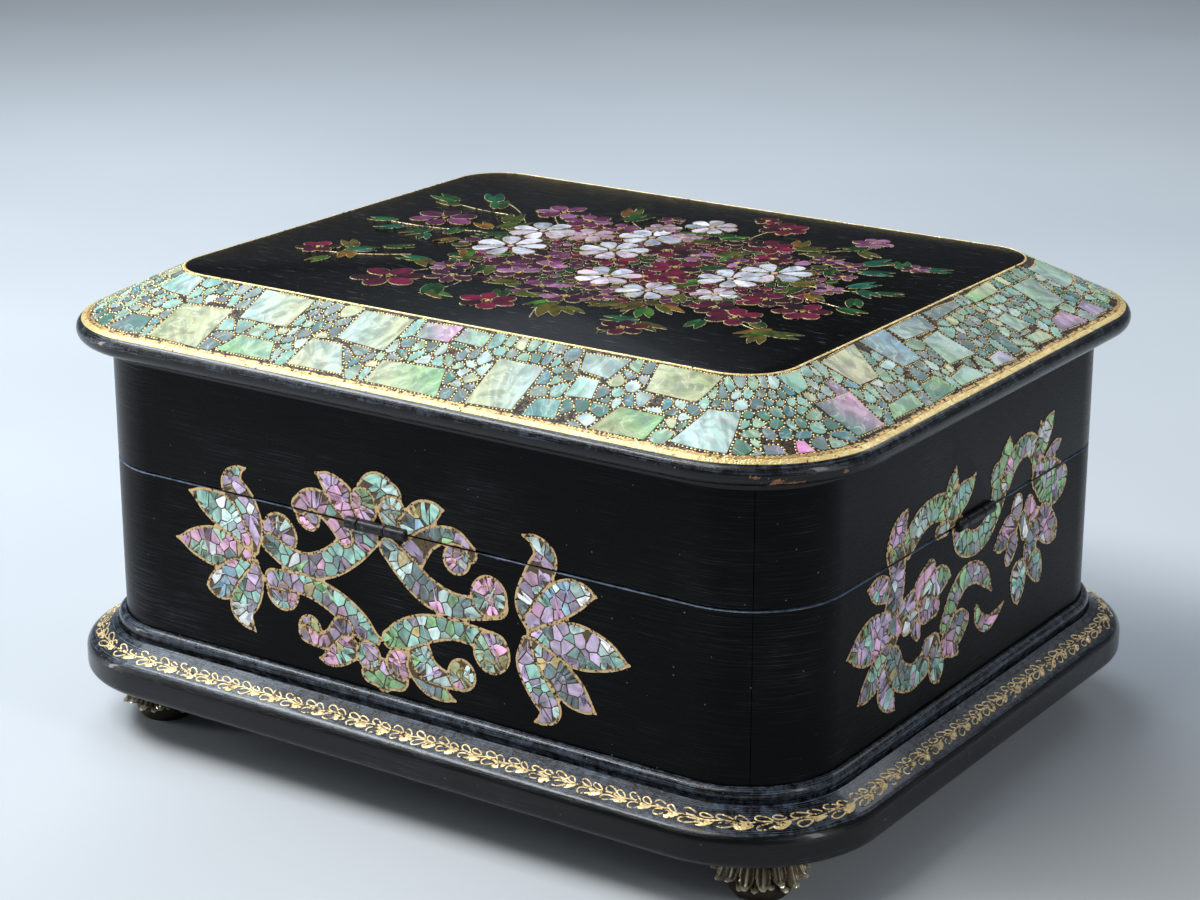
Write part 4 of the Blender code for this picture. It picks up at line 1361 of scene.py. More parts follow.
# The first of the front's parts are its two end sprays.
FRONT_SPRAYS = 10
FRONT_CURLS = (
    (-50, 84.2, 4.0, 60, 1.0), (-38.2, 90.8, 2.1, 200, 1.0), (-15.4, 100.4, 3.2, 90, 1.1),
    (-4.4, 99.6, 3.0, 120, -1.1), (20.4, 89.8, 3.0, 20, 1.0), (32.2, 80.2, 4.2, 160, -1.0),
    (-49.2, 64.6, 4.0, 300, 1.0), (-38.2, 54, 2.8, 60, 1.0), (-15, 50.4, 3.0, 250, 1.0),
    (-2.8, 50, 3.2, 280, -1.0), (21.4, 52.2, 3.2, 330, 1.0), (33, 62.2, 4.2, 190, 1.0),
)
RIGHT_SCROLLS = (
    ("rose", "lilac", [
        (-47, 93, 4.5), (-49, 98, 5.2), (-46.5, 103, 4.6), (-43, 107, 1.8), (-41.3, 108.5, 0.4),
    ]),
    ("lime", "mist", [(-41, 96, 4), (-35, 101, 4.6), (-27, 103.4, 4.4), (-18, 102.4, 4.6), (-13, 98, 4.4)]),
    ("lime", "aqua", [(-13, 102, 5), (-12.5, 108, 3.6), (-11, 113.5, 0.4)]),
    ("aqua", "lime", [(-12, 100, 4.5), (-6, 102.5, 4.8), (-1, 104.5, 2.6), (2.6, 107.6, 0.4)]),
    ("mist", "lime", [(-21, 95, 2.4), (-16, 95, 2.6)]),
    ("rose", "aqua", [(-52, 86, 4), (-58, 88, 4.4), (-62, 89.3, 2.2), (-65, 90, 0.4)]),
    ("mauve", "slate", [(-47, 94, 5), (-47, 86, 5), (-49, 78, 5.5), (-50, 70, 5)]),
    ("lilac", "rose", [(-54, 74, 6), (-62, 73, 7.6), (-69, 72.5, 5), (-76.5, 72, 0.4)]),
    ("sage", "mauve", [(-52, 64, 5), (-58, 61, 5.4), (-64, 57.5, 3.6), (-69, 55, 0.5)]),
    ("aqua", "lilac", [(-52, 58, 4.5), (-52, 53, 5), (-49, 48.6, 3), (-46, 45.4, 0.4)]),
    ("white", "rose", [(-50, 73, 2), (-46, 73.5, 4.6), (-43, 74, 4)]),
    ("white", "lilac", [(-42, 76, 4), (-37, 77.5, 4)]),
    ("white", "mauve", [(-40, 71, 3.6), (-35, 71.5, 3.4)]),
    ("mauve", "rose", [(-31, 80, 5), (-26, 84, 4)]),
    ("mauve", "lilac", [(-27, 76, 5), (-20, 79, 5), (-15, 79, 2.6), (-11.8, 78.2, 0.4)]),
    ("rose", "mauve", [(-28, 72, 4.6), (-22, 71, 3.4)]),
    ("mauve", "lilac", [(-34, 68, 3.2), (-32.5, 65, 1.8)]),
    ("aqua", "slate", [(-48, 62, 5), (-44, 56, 4.8), (-36, 52.5, 4.6), (-28, 54, 4.8)]),
    ("mauve", "white", [(-26, 59, 3.4), (-22, 58, 4.6)]),
    ("white", "aqua", [(-20, 54, 5), (-19, 49.5, 4.6), (-17, 44.4, 0.4)]),
    ("rose", "olive", [(-12, 56, 5), (-6, 59, 6), (-1.5, 60, 3.4)], [(-9, 54, 4), (-5.4, 50.6, 1.2)]),
    ("mauve", "lime", [
        (-14, 63, 3.8), (-9, 70, 4.2), (-2, 74.4, 4.2), (6, 73.8, 3.8), (12, 70, 3), (17, 64.4, 0.6),
    ]),
    ("rose", "aqua", [(7, 61, 1.6), (9, 57, 2.6), (15, 53.6, 2.8), (21, 54.8, 1.8), (26.5, 57.4, 0.4)]),
    ("lime", "aqua", [
        (-8, 93, 4), (-5, 87.5, 4.6), (3, 84.5, 4.4), (11, 86, 4.4), (17, 91.5, 4.6), (20, 98, 5.4),
        (18, 102.4, 4.6),
    ]),
    ("lime", "sage", [(22, 104, 4), (24.5, 108.5, 3.6), (25.6, 113, 0.5)]),
    ("lime", "white", [
        (24, 99, 4), (28, 103.6, 4), (33, 106.6, 4), (40, 107, 4), (45, 103, 4), (48, 97, 4.4),
    ]),
    (
        "white", "lime", [(48, 103, 4), (51, 107, 4.6), (54.5, 110.5, 3), (57.4, 113.6, 0.4)],
        [(48, 108, 2.4), (48, 112.6, 0.4)],
    ),
    ("mauve", "blue", [(55, 98, 3), (60, 101, 2.4), (64, 102.4, 0.4)]),
    ("lime", "lilac", [(48, 94, 5), (56, 90, 8), (62, 88, 7), (66, 89, 4), (69.5, 89, 0.5)]),
    ("mauve", "rose", [(18, 78, 0.8), (23, 79, 4), (28, 82, 4.6), (32, 82, 3)]),
    ("mauve", "olive", [(31, 76, 4), (28.8, 72, 3), (27, 69.4, 0.4)]),
    ("mauve", "grey", [(33, 87, 4), (33.4, 88.6, 3.6)]),
    ("white", "mauve", [(40, 77.6, 3.4), (38.4, 82, 3.4)]),
    ("white", "rose", [(42, 86, 3.4), (44, 82, 4)]),
    ("rose", "white", [(46, 78.6, 3.8), (48, 80, 3.6)]),
    ("rose", "mauve", [(53, 77, 6.4), (59, 72.4, 5), (63.4, 68.6, 0.4)]),
    ("slate", "mauve", [(46, 75, 4.6), (44, 70, 4.6), (46, 65, 4.6)]),
    ("mauve", "aqua", [(48, 64, 5), (50.5, 60, 3.4), (52.6, 56.4, 0.4)]),
    ("aqua", "white", [(36.4, 63, 5.8), (36.5, 58, 4.2), (37, 53, 0.4)]),
)
# Tones for shards that take neither of their part's tones; the white and ice stand partly for painted
# glints
MIXED_AND_GLINT_TONES = ("lilac", "aqua", "ice", "mauve", "straw", "rose", "slate", "lime", "white", "ice")


SCROLL_MARGIN = 9
FIELD_STEP = 0.62
PART_LINE = 0.3
SHEET_RISE, SHEET_SINK = 0.12, 0.1
SEAM_ROOM = 0.12
CURL_HALF_WIDTH, CURL_RISE = 0.30, 0.36
LEAST_SHARD = 0.45
LEAST_ROOM = 0.3
SCROLL_TURNS = 18
SEED_DEPTH = 0.35
SCROLL_WEIGHT = 1.5
# Brightness spread of the scroll shards: random tone, and on the brightest shards painted glints
SCROLL_TONE_AND_GLINT_SPREAD = (0.8, 2.1)
# Below the first share a shard has its part's first tone, below the second its second tone
TONE_SHARES = (0.38, 0.70)


def scroll_cells(parts, own, field, coarse, chance):
    """Seeds, edges and tones of every part's shards, then the least of all fields and the sheet's inset.

    A later part lies over the earlier ones. Its shards are cells between its own seeds, drawn back from
    the field max(own field + rim, line - fields of the parts above), so gold shows round every part. The
    inset is how far each grid point lies inside the uppermost part that covers it.
    """
    rim, gap, pitch = length_of("rim_width"), length_of("scroll_gap"), length_of("scroll_pitch") * coarse
    top = np.full(own[0].shape, FAR)
    above = top.copy()
    seeds, edges, tones = [], [], []
    for (first, second, *_), value in reversed(list(zip(parts, own))):
        inside = np.maximum(value + rim, PART_LINE - above)
        read = field.reader(inside)
        spots = scattered(field.low, field.high, pitch, chance)
        spots = spots[read(spots) < -SEED_DEPTH]
        if len(spots) < 2:
            best = np.unravel_index(inside.argmin(), inside.shape)
            spots = np.array([[field.u[best[1]], field.v[best[0]]]]) + [[-0.3, 0], [0.3, 0]]
        weights = chance.uniform(-SCROLL_WEIGHT, SCROLL_WEIGHT, len(spots))
        cells = neighbour_lines(spots, weights, gap, min(NEIGHBOURS, len(spots) - 1))
        seeds.append(spots)
        edges.append(clipped(spots, capped(outlines(*cells, SCROLL_TURNS), SCROLL_MARGIN), read))
        dice = chance.random(len(spots))
        # Mixed tones and the brightness spread give random tone and painted glints
        mixed = chance.choice(MIXED_AND_GLINT_TONES, len(spots))
        names = np.where(dice < TONE_SHARES[0], first, np.where(dice < TONE_SHARES[1], second, mixed))
        tones.append(tones_of(names) * chance.uniform(*SCROLL_TONE_AND_GLINT_SPREAD, (len(spots), 1)))
        top = np.where((top == FAR) & (value < 0), value, top)
        above = np.minimum(above, value)
    return np.vstack(seeds), np.vstack(edges), np.vstack(tones), above, np.where(top == FAR, 0, -top)


def add_scrolls(name, parts, curls, turn, mirror=False, coarse=1.0):
    """Shell scrolls on a gold sheet, cut at the seam into a part for the lid and one for the body."""
    chance = np.random.default_rng(turn + 3)
    lines = [[spline(stroke) for stroke in strokes] for _, _, *strokes in parts]
    winding = [curl(u, v, radius, start, turns, CURL_HALF_WIDTH) for u, v, radius, start, turns in curls]
    if mirror:
        for line in [line for group in lines for line in group] + winding:
            line[:, 0] *= -1
    everything = np.vstack([line for group in lines for line in group])[:, :2]
    field = Field(everything.min(0) - SCROLL_MARGIN, everything.max(0) + SCROLL_MARGIN, FIELD_STEP)
    own = [field.of(group) for group in lines]
    seeds, edges, tones, above, inset = scroll_cells(parts, own, field, coarse, chance)
    place = on_wall(turn)
    for half, body, sign in (("lid", "lid", 1), ("body", "box", -1)):
        cut = SEAM_GAP - sign * (field.grid[1] - SEAM)
        points, faces, used = plate(field, np.maximum(above, cut), place, SHEET_RISE, SHEET_SINK)
        depth = {"inset": ("FLOAT", "value", np.tile(inset.ravel()[used], 2))}
        add_piece(
            f"{name}_{half}_gold", points, faces, [finish_of("scroll")], body,
            attributes=depth, sharp=50,
        )
        room = sign * (seeds[:, 1] - SEAM) - SEAM_GAP - SEAM_ROOM
        kept = room > LEAST_ROOM
        room = room[kept, None]
        drop = -sign * edges[kept][..., 1]
        share = np.where(drop > room, room / np.maximum(drop, 1e-6), 1)
        edge = edges[kept] * share[..., None]
        sound = np.abs(edge).max(axis=(1, 2)) > LEAST_SHARD
        add_shards(
            f"{name}_{half}_shell", seeds[kept][sound], edge[sound], tones[kept][sound], place, body,
            finish_of("scale"), chance, rise=0.24, bevel=0.08, tilt=0.06,
        )
        spirals = [line[:, :2] for line in winding if sign * (line[0, 1] - SEAM) > 0]
        if spirals:
            points, faces = ribbon(np.stack(spirals), CURL_HALF_WIDTH, place, CURL_RISE, closed=False)
            add_piece(
                f"{name}_{half}_curls", points, faces, [finish_of("ticked")], body,
            )


def add_hidden_scrolls():
    """The right side's scrolls mirrored on the left, and the front's middle ones on the back, coarser."""
    add_scrolls("left_scrolls", RIGHT_SCROLLS, (), 270, mirror=True, coarse=1.3)
    add_scrolls("back_scrolls", FRONT_SCROLLS[FRONT_SPRAYS:], (), 180, coarse=1.4)


# Flowers on the panel

WHITE_FLOWERS = (
    (5, 57, 9.5), (-4, 33, 11), (-40, 20, 11.5), (-37, -3, 12.5), (-5, 11, 11.5), (12, -18, 11),
    (33, -26, 10), (55, 15, 12), (47, 1, 11), (53, -18, 7.5),
)
BLUSH_FLOWERS = ((-23, 24, 8.5), (-8, 46, 6.5), (5, 39, 6))
DARK_FLOWERS = (
    (-46, -58, 12), (-2, -64, 9.5), (50, -66, 8), (72, -37, 9.5), (86, -20, 9.5), (61, -31, 8),
    (69, -14, 8.5), (10, 21, 9), (24, 4, 9.5), (31, -8, 7.5), (2, 1, 8), (36, 44, 9), (45, 31, 7),
    (27, 69, 9), (-90, -40, 7.5), (16, 76, 5), (22, -12, 7),
)
MAUVE_FLOWERS = (
    (-80, 17, 12), (-50, 47, 10), (-35, 41, 9), (-20, 38, 7), (62, 68, 7), (-30, -45, 8.5), (-24, -22, 9),
    (-14, -30, 8), (2, -40, 8.5), (15, -46, 8), (24, -38, 6), (21, 20, 7.5), (71, 36, 6), (61, 40, 6),
    (-18, -8, 8), (-12, -18, 7), (80, 7, 5), (38, 20, 6), (90, 46, 5), (-38, -36, 7), (-12, 58, 5),
    (15, -30, 6), (75, 24, 5),
)
# Leaves as (x, y, direction in degrees, length, tone)
LEAVES = (
    (-97, 4, 200, 9, "teal"), (-88, -4, 230, 9, "teal"), (-76, -4, 250, 10, "green"),
    (-70, -8, 300, 8, "teal"), (-84, 52, 130, 12, "teal"), (-76, 44, 120, 11, "green"),
    (-98, 42, 160, 12, "green"), (-92, 36, 170, 9, "amber"), (-60, 30, 110, 12, "olive"),
    (-54, 22, 80, 12, "olive"), (-62, 16, 150, 9, "amber"), (-52, 8, 200, 10, "green"),
    (-84, -30, 140, 10, "amber"), (-76, -34, 30, 10, "teal"), (-76, -42, 300, 10, "amber"),
    (-80, -52, 260, 8, "lime"), (-54, -34, 190, 10, "teal"), (-48, -36, 330, 10, "amber"),
    (-44, -18, 120, 9, "amber"), (-40, -24, 200, 9, "olive"), (-26, -33, 290, 12, "green"),
    (-34, -14, 40, 8, "lime"), (-30, 60, 110, 12, "rust"), (-24, 54, 70, 11, "green"),
    (-25, -62, 300, 12, "green"), (-20, -66, 340, 10, "amber"), (-12, -42, 200, 10, "amber"),
    (4, -50, 20, 10, "olive"), (14, -56, 250, 11, "lime"), (20, -62, 300, 13, "amber"),
    (26, -58, 330, 9, "olive"), (-4, -54, 120, 9, "green"), (44, -58, 200, 10, "teal"),
    (56, -60, 340, 10, "amber"), (48, -70, 280, 9, "green"), (38, -44, 260, 11, "amber"),
    (30, -46, 220, 10, "olive"), (50, -40, 330, 11, "amber"), (46, -48, 300, 10, "lime"),
    (66, -50, 280, 9, "green"), (86, -48, 240, 11, "amber"), (94, -46, 10, 11, "olive"),
    (90, -54, 290, 9, "amber"), (82, -40, 140, 8, "green"), (38, -11, 250, 10, "lime"),
    (46, -28, 300, 8, "olive"), (34, 10, 60, 10, "green"), (33, 24, 100, 11, "amber"),
    (30, 30, 60, 10, "olive"), (20, 48, 40, 9, "green"), (14, 38, 20, 9, "amber"), (35, 36, 20, 8, "green"),
    (48, 50, 30, 10, "amber"), (42, 54, 110, 10, "amber"), (55, 44, 0, 9, "olive"),
    (60, 58, 220, 9, "green"), (68, 54, 330, 9, "olive"), (76, 46, 60, 11, "teal"),
    (82, 34, 20, 10, "teal"), (70, 26, 300, 9, "green"), (86, 18, 60, 10, "teal"), (92, 10, 330, 9, "teal"),
    (94, -2, 300, 9, "green"), (98, 14, 20, 8, "green"), (96, 48, 20, 10, "teal"),
    (84, 48, 120, 9, "green"), (70, 10, 60, 9, "amber"), (70, 0, 260, 9, "green"),
    (80, -3, 320, 9, "amber"), (64, 22, 80, 8, "amber"), (98, -11, 350, 9, "green"),
    (6, 47, 60, 8, "green"), (-66, 4, 90, 9, "green"), (-68, -24, 40, 9, "green"),
    (-60, -8, 250, 8, "amber"), (-44, 2, 200, 7, "green"),
)
FLOWER_TONES = {
    "white": ("#AEADB8", "#9B9EAC", "#AB9CA8", "#BCBAC4"),
    "blush": ("#97707F", "#8A607B", "#A08896"),
    "dark": ("#38041A", "#480620", "#22020E", "#5C0A2A"),
    "mauve": ("#421634", "#320C24", "#5C2C4E", "#20061A", "#7C5272"),
    "teal": ("#0A4030", "#125040"),
    "green": ("#0C3012", "#16441E"),
    "olive": ("#303A0E", "#3C3E10"),
    "amber": ("#5C400C", "#40380C"),
    "lime": ("#1E4C14", "#345C1C"),
    "rust": ("#48180E", "#503210"),
}


LAYER_DEPTH = 0.10
HEART_SHARE = 0.19
LEAF_FULLNESS = 1.15
SPRAY_LOW, SPRAY_HIGH = (-66, -58), (96, 60)
SPRAY_MIDDLE, SPRAY_HALF = 14, (66, 47)
SPRAY_GAP = 0.9
SPRAY_REACH = 3.4
SPRAY_TURNS = 14
STEM_HALF_WIDTH, STEM_RISE = 0.26, 0.10


def petal_edges(length, width, blunt, turns=16):
    """Egg-shaped outlines about their middles: half an ellipse pulled to a point at the inner end."""
    angle = np.linspace(0, math.tau, turns, endpoint=False)
    cosine, sine = np.cos(angle), np.sin(angle)
    swell = (1 + blunt[:, None] * cosine) * np.abs(sine) ** (1.3 - blunt[:, None])
    swell /= swell.max(axis=1, keepdims=True)
    return np.stack([length[:, None] / 2 * cosine, width[:, None] / 2 * np.sign(sine) * swell], -1)


def turned(edge, angle):
    """Each outline turned about its own middle."""
    cosine, sine = np.cos(angle)[:, None], np.sin(angle)[:, None]
    return np.stack(
        [edge[..., 0] * cosine - edge[..., 1] * sine, edge[..., 0] * sine + edge[..., 1] * cosine], -1,
    )


def add_layer(name, middle, edge, tones, level, chance, finish="stained"):
    """Inlaid petals or leaves with a fine gold outline, lying level layers over what is below."""
    line = length_of("flower_line")
    length = np.maximum(np.hypot(edge[..., 0], edge[..., 1]), 1e-3)[..., None]
    base = LAYER_DEPTH * level
    gilt = shard_points(middle, edge * (1 + line / length), on_panel, 0.05 + base, 0.04, 0, chance)
    add_piece(name + "_gold", gilt[0], gilt[1], [finish_of("outline")], "lid")
    add_shards(
        name, middle, edge, tones, on_panel, "lid", finish_of(finish), chance, rise=0.12 + base, bevel=0.05,
        tilt=0.006,
    )


def flower_petals(flowers, kind, petals, chance, slim, blunt):
    """Petals set in a ring round each flower, every one a little longer, shorter or turned."""
    centre = np.array([flower[:2] for flower in flowers], float)
    radius = np.array([flower[2] for flower in flowers], float)
    count = len(flowers)
    angle = chance.uniform(0, math.tau, (count, 1)) + np.arange(petals) * math.tau / petals
    angle = (angle + chance.uniform(-0.10, 0.10, angle.shape)).ravel()
    radius = np.repeat(radius, petals)
    length = radius * chance.uniform(0.74, 0.86, count * petals)
    width = radius * chance.uniform(0.9, 1.08, count * petals) * slim
    far = radius * HEART_SHARE + length / 2
    middle = np.repeat(centre, petals, axis=0) + np.stack([far * np.cos(angle), far * np.sin(angle)], -1)
    edge = turned(petal_edges(length, width, np.full(len(length), blunt)), angle)
    codes = chance.choice(FLOWER_TONES[kind], len(length))
    tones = np.array([srgb(code) for code in codes]) * chance.uniform(0.65, 1.2, (len(length), 1))
    return middle, edge, tones


# Stems as (from x, y, to x, y, bow)
STEMS = (
    (-58, -30, -93, -44, 3), (-40, -40, -50, -66, -2), (-6, -48, -2, -68, 2), (40, -44, 52, -70, -3),
    (66, -34, 98, -48, -3), (70, -6, 101, -12, 2), (70, 8, 102, 16, -2), (62, 34, 96, 50, 3),
    (48, 42, 64, 72, -3), (24, 48, 28, 76, 2), (-14, 42, -32, 66, 3), (-40, 30, -56, 54, 2),
    (-50, 24, -86, 54, -3), (-50, 12, -100, 4, 4), (-62, 34, -100, 42, 3), (14, -48, 20, -72, -2),
    (-24, -46, -26, -68, 2),
)


def add_stems():
    """Thin gold stems that bow a little on their way out of the spray."""
    ends = np.array(STEMS, float)
    share = np.linspace(0, 1, 12)[None, :, None]
    run = (ends[:, 2:4] - ends[:, :2])[:, None]
    side = np.stack([-run[..., 1], run[..., 0]], -1) / np.hypot(run[..., 0], run[..., 1])[..., None]
    lines = ends[:, None, :2] + run * share + side * ends[:, None, 4:5] * np.sin(math.pi * share)
    points, faces = ribbon(lines, STEM_HALF_WIDTH, on_panel, STEM_RISE, closed=False)
    add_piece("bouquet_stems", points, faces, [finish_of("outline")], "lid")


def leaf_shards(chance):
    """Pointed leaves, each in two halves of nearly the same tone on either side of its rib."""
    middle = np.array([leaf[:2] for leaf in LEAVES], float)
    angle = np.array([math.radians(leaf[2]) for leaf in LEAVES])
    length = np.array([leaf[3] for leaf in LEAVES], float) * LEAF_FULLNESS
    halves = []
    for side in (-1, 1):
        shift = np.stack([-np.sin(angle), np.cos(angle)], -1) * (side * length * 0.125)[:, None]
        edge = turned(petal_edges(length, length * 0.27, np.full(len(LEAVES), -0.3)), angle + side * 0.10)
        kinds = [
            leaf[4] if chance.random() < 0.7 else chance.choice(("green", "olive", "lime"))
            for leaf in LEAVES
        ]
        codes = [chance.choice(FLOWER_TONES[kind]) for kind in kinds]
        halves.append((middle + shift, edge, np.array([srgb(code) for code in codes])))
    return [np.concatenate(parts) for parts in zip(*halves)]


def spray_shards(chance):
    """Small shards packed in an ellipse with a ragged edge, green and red in drifts."""
    seeds = scattered(SPRAY_LOW, SPRAY_HIGH, length_of("spray_pitch"), chance)
    inside = ((seeds[:, 0] - SPRAY_MIDDLE) / SPRAY_HALF[0]) ** 2 + (seeds[:, 1] / SPRAY_HALF[1]) ** 2
    seeds = seeds[inside + chance.uniform(-0.2, 0.2, len(seeds)) < 1]
    cells = neighbour_lines(seeds, chance.uniform(-2, 2, len(seeds)), SPRAY_GAP)
    edge = softened(capped(outlines(*cells, SPRAY_TURNS), SPRAY_REACH))
    drift = np.sin(seeds[:, 0] / 9 + 1) + np.sin(seeds[:, 1] / 7) + chance.uniform(-1.2, 1.2, len(seeds))
    kinds = np.select([drift > 1.3, drift > 0.9, drift > -0.2], ["green", "olive", "mauve"], "dark")
    tones = np.array([srgb(chance.choice(FLOWER_TONES[kind])) for kind in kinds])
    return seeds, edge, tones * chance.uniform(0.5, 1.1, (len(seeds), 1))


def add_bouquet():
    """The bouquet of the panel: packed shards below, then leaves, dark and mauve flowers, white ones."""
    chance = np.random.default_rng(29)
    add_layer("bouquet_shards", *spray_shards(chance), 0, chance)
    add_stems()
    add_layer("bouquet_leaves", *leaf_shards(chance), 1, chance)
    dark = flower_petals(DARK_FLOWERS, "dark", 6, chance, 0.60, 0.15)
    mauve = flower_petals(MAUVE_FLOWERS, "mauve", 6, chance, 0.54, 0.25)
    add_layer("dark_petals", *(np.concatenate(parts) for parts in zip(dark, mauve)), 2, chance)
    white = flower_petals(WHITE_FLOWERS, "white", 7, chance, 0.50, 0.58)
    blush = flower_petals(BLUSH_FLOWERS, "blush", 6, chance, 0.58, 0.4)
    add_layer("white_petals", *(np.concatenate(parts) for parts in zip(white, blush)), 3, chance, "petal")
    for name, flowers, size, rise, code in (
        ("dark_hearts", DARK_FLOWERS + MAUVE_FLOWERS, 0.8, 0.36, "#A8843A"),
        ("white_hearts", WHITE_FLOWERS + BLUSH_FLOWERS, 1.1, 0.46, "#A88A7A"),
    ):
        middle = np.array([flower[:2] for flower in flowers], float)
        wide = np.full(len(middle), 2 * size)
        edge = petal_edges(wide, wide, np.full(len(middle), 0.3), 12)
        tones = np.tile(srgb(code), (len(middle), 1))
        add_shards(
            name, middle, edge, tones, on_panel, "lid", finish_of("petal"), chance, rise=rise, bevel=0.1,
        )


# Gold vine on the plinth

VINE_PITCH = 8.8
VINE_MIDDLE = 3.4
VINE_RISE = 0.12
VINE_WAVE = 0.35
VINE_STEM_HALF, VINE_LOOP_HALF = 0.28, 0.26
# Loops of one repeat as (along, up, direction in degrees, length, width)
VINE_LOOPS = (
    (2.4, 1.35, 165, 4.6, 1.9), (6.4, 1.15, 158, 3.6, 1.6), (3.0, -1.35, 197, 4.6, 2.1),
)
VINE_LEAF = (6.7, -1.3, 198, 4.6, 2.3)


def add_vine():
    """A stem that waves along the shelf, with open teardrop loops and one filled leaf in each repeat."""
    chance = np.random.default_rng(17)
    gold = [finish_of("vine")]
    count = round(ROUND / VINE_PITCH)
    start = np.arange(count)[:, None] * ROUND / count
    along = np.arange(count * 12) * ROUND / (count * 12)
    wave = VINE_WAVE * np.sin(along * math.tau * count / ROUND)
    stem = np.stack([along, VINE_MIDDLE + wave], -1)[None]
    points, faces = ribbon(stem, VINE_STEM_HALF, on_shelf, VINE_RISE, closed=True)
    add_piece("vine_stem", points, faces, gold, "box")

    loops = np.array(VINE_LOOPS, float)
    middle = np.stack([start + loops[:, 0], VINE_MIDDLE + loops[:, 1] + 0 * start], -1).reshape(-1, 2)
    middle = middle + chance.uniform(-0.3, 0.3, middle.shape)
    size = np.tile(loops[:, 3:], (count, 1)) * chance.uniform(0.82, 1.12, (len(middle), 2))
    angle = np.radians(np.tile(loops[:, 2], count)) + chance.uniform(-0.2, 0.2, len(middle))
    outline = turned(petal_edges(size[:, 0], size[:, 1], np.full(len(middle), 0.35), 18), angle)
    points, faces = ribbon(outline + middle[:, None], VINE_LOOP_HALF, on_shelf, VINE_RISE, closed=True)
    add_piece("vine_loops", points, faces, gold, "box")

    leaf_along, leaf_up, leaf_turn, leaf_length, leaf_width = VINE_LEAF
    middle = np.stack([start[:, 0] + leaf_along, VINE_MIDDLE + leaf_up + 0 * start[:, 0]], -1)
    middle = middle + chance.uniform(-0.25, 0.25, middle.shape)
    width = leaf_width * chance.uniform(0.6, 1.15, count)
    angle = math.radians(leaf_turn) + chance.uniform(-0.2, 0.2, count)
    edge = turned(petal_edges(np.full(count, leaf_length), width, np.full(count, 0.3)), angle)
    points, faces, _ = shard_points(middle, edge, on_shelf, VINE_RISE, 0.06, 0, chance)
    add_piece("vine_leaves", points, faces, gold, "box")


# Feet

FEET = ("foot_front_left", "foot_front_right", "foot_back_left", "foot_back_right")
FOOT_RADIUS = 15.0
FOOT_LEAVES = 16
LEAF_SIDES = 18
FOOT_LEVELS = 62
# The bun as heights from the ground up and radii, both as shares of the foot's
BUN = (0, 0.06, 0.2, 0.4, 1), (0.54, 0.61, 0.69, 0.70, 0.66)
# Rings of leaves as (height of the tips, inner radius, outer radius, turn in leaves, brightness)
LEAF_TIERS = ((0.27, 0.68, 0.86, 0.5, 0.8), (0.36, 0.74, 1.0, 0.0, 1.0))


def foot_surface():
    """Hanging acanthus leaves round a bun: radius = the larger of bun(height) and leaf(side, height).

    A leaf fills |across| < width(down), flares outwards on its way down to a round tip, and has a raised
    rim, a midrib and a hollow between. A second ring of leaves hangs lower behind, half a leaf on. A
    brightness is kept for the finish: pale on the crests, dark in the hollows, on the bun, up the leaves
    and on the ring behind, partly patina and partly painted highlight and shade.
    """
    height = corners("foot_front_right")[1][2]
    sides = FOOT_LEAVES * LEAF_SIDES
    angle = np.linspace(0, math.tau, sides, endpoint=False)[None, :]
    rise = np.linspace(1, 0, FOOT_LEVELS)[:, None]
    radius = np.interp(rise, *BUN) + 0 * angle
    relief_patina_and_shading = 0.12 + 0.25 * np.exp(-((rise - 0.16) / 0.1) ** 2) + 0 * angle
    for tip, inner, outer, turn, light in LEAF_TIERS:
        place = angle * FOOT_LEAVES / math.tau + turn
        across = 2 * (np.mod(place, 1) - 0.5)
        leaf = np.mod(np.floor(place), FOOT_LEAVES)
        down = (1 - rise) / (1 - tip - 0.05 * np.sin(2.4 * leaf))
        fallen = np.clip(down, 0, 1)
        width = 0.97 * np.sqrt(np.clip(1 - np.clip((down - 0.62) / 0.38, 0, 1) ** 2, 0, 1)) * (down <= 1)
        side = np.abs(across) / np.maximum(width, 1e-3)
        inside = np.clip((1.04 - side) / 0.10, 0, 1) * (width > 0.05)
        rim = np.maximum(np.clip(side, 0, 1) ** 6, np.clip((down - 0.86) / 0.10, 0, 1))
        crest = np.maximum(rim, 0.7 * np.exp(-(across / 0.12) ** 2))
        reach = inner + (outer - inner) * fallen ** 1.4 - 0.085 * (1 - crest)
        form = np.where(inside > 0, radius + (reach - radius) * inside, 0)
        above = form > radius
        radius = np.where(above, form, radius)
        # Brightness for the finish: crests pale, hollows dark, leaf tops and the ring behind darker; patina
        # and painted highlight and shade
        relief_patina_and_shading = np.where(above, inside * light * (0.35 + 0.65 * crest) * (0.55 + 0.45 * fallen), relief_patina_and_shading)
    radius = FOOT_RADIUS * np.minimum(radius, 1.0)
    x, y = radius * np.cos(angle), radius * np.sin(angle)
    points = np.stack([x, y, height * rise + 0 * x], -1).reshape(-1, 3)
    ring = np.arange(sides)[None, :]
    faces = [grid_faces(FOOT_LEVELS, sides)[:, ::-1], ring, (FOOT_LEVELS - 1) * sides + ring[:, ::-1]]
    return points, faces, np.clip(relief_patina_and_shading, 0, 1).ravel()


def add_feet():
    """The same casting under each corner."""
    points, faces, relief_patina_and_shading = foot_surface()
    attributes = {"relief_patina_and_shading": ("FLOAT", "value", relief_patina_and_shading)}
    for name in FEET:
        low, high = corners(name)
        middle = (low + high) / 2 * (1, 1, 0)
        add_piece(
            name + "_casting", points + middle, faces, [finish_of("brass")], "box",
            (name,), attributes=attributes, sharp=60,
        )


# Catches and hinges

BARREL_STATIONS, BARREL_SIDES = 120, 36
BARREL_SWELL = 0.06
JOINT_DEPTH, JOINT_WIDTH = 0.5, 0.22
LIP_RISE, LIP_PLACE, LIP_WIDTH = 0.10, 0.75, 0.3
END_ROUND = 0.5


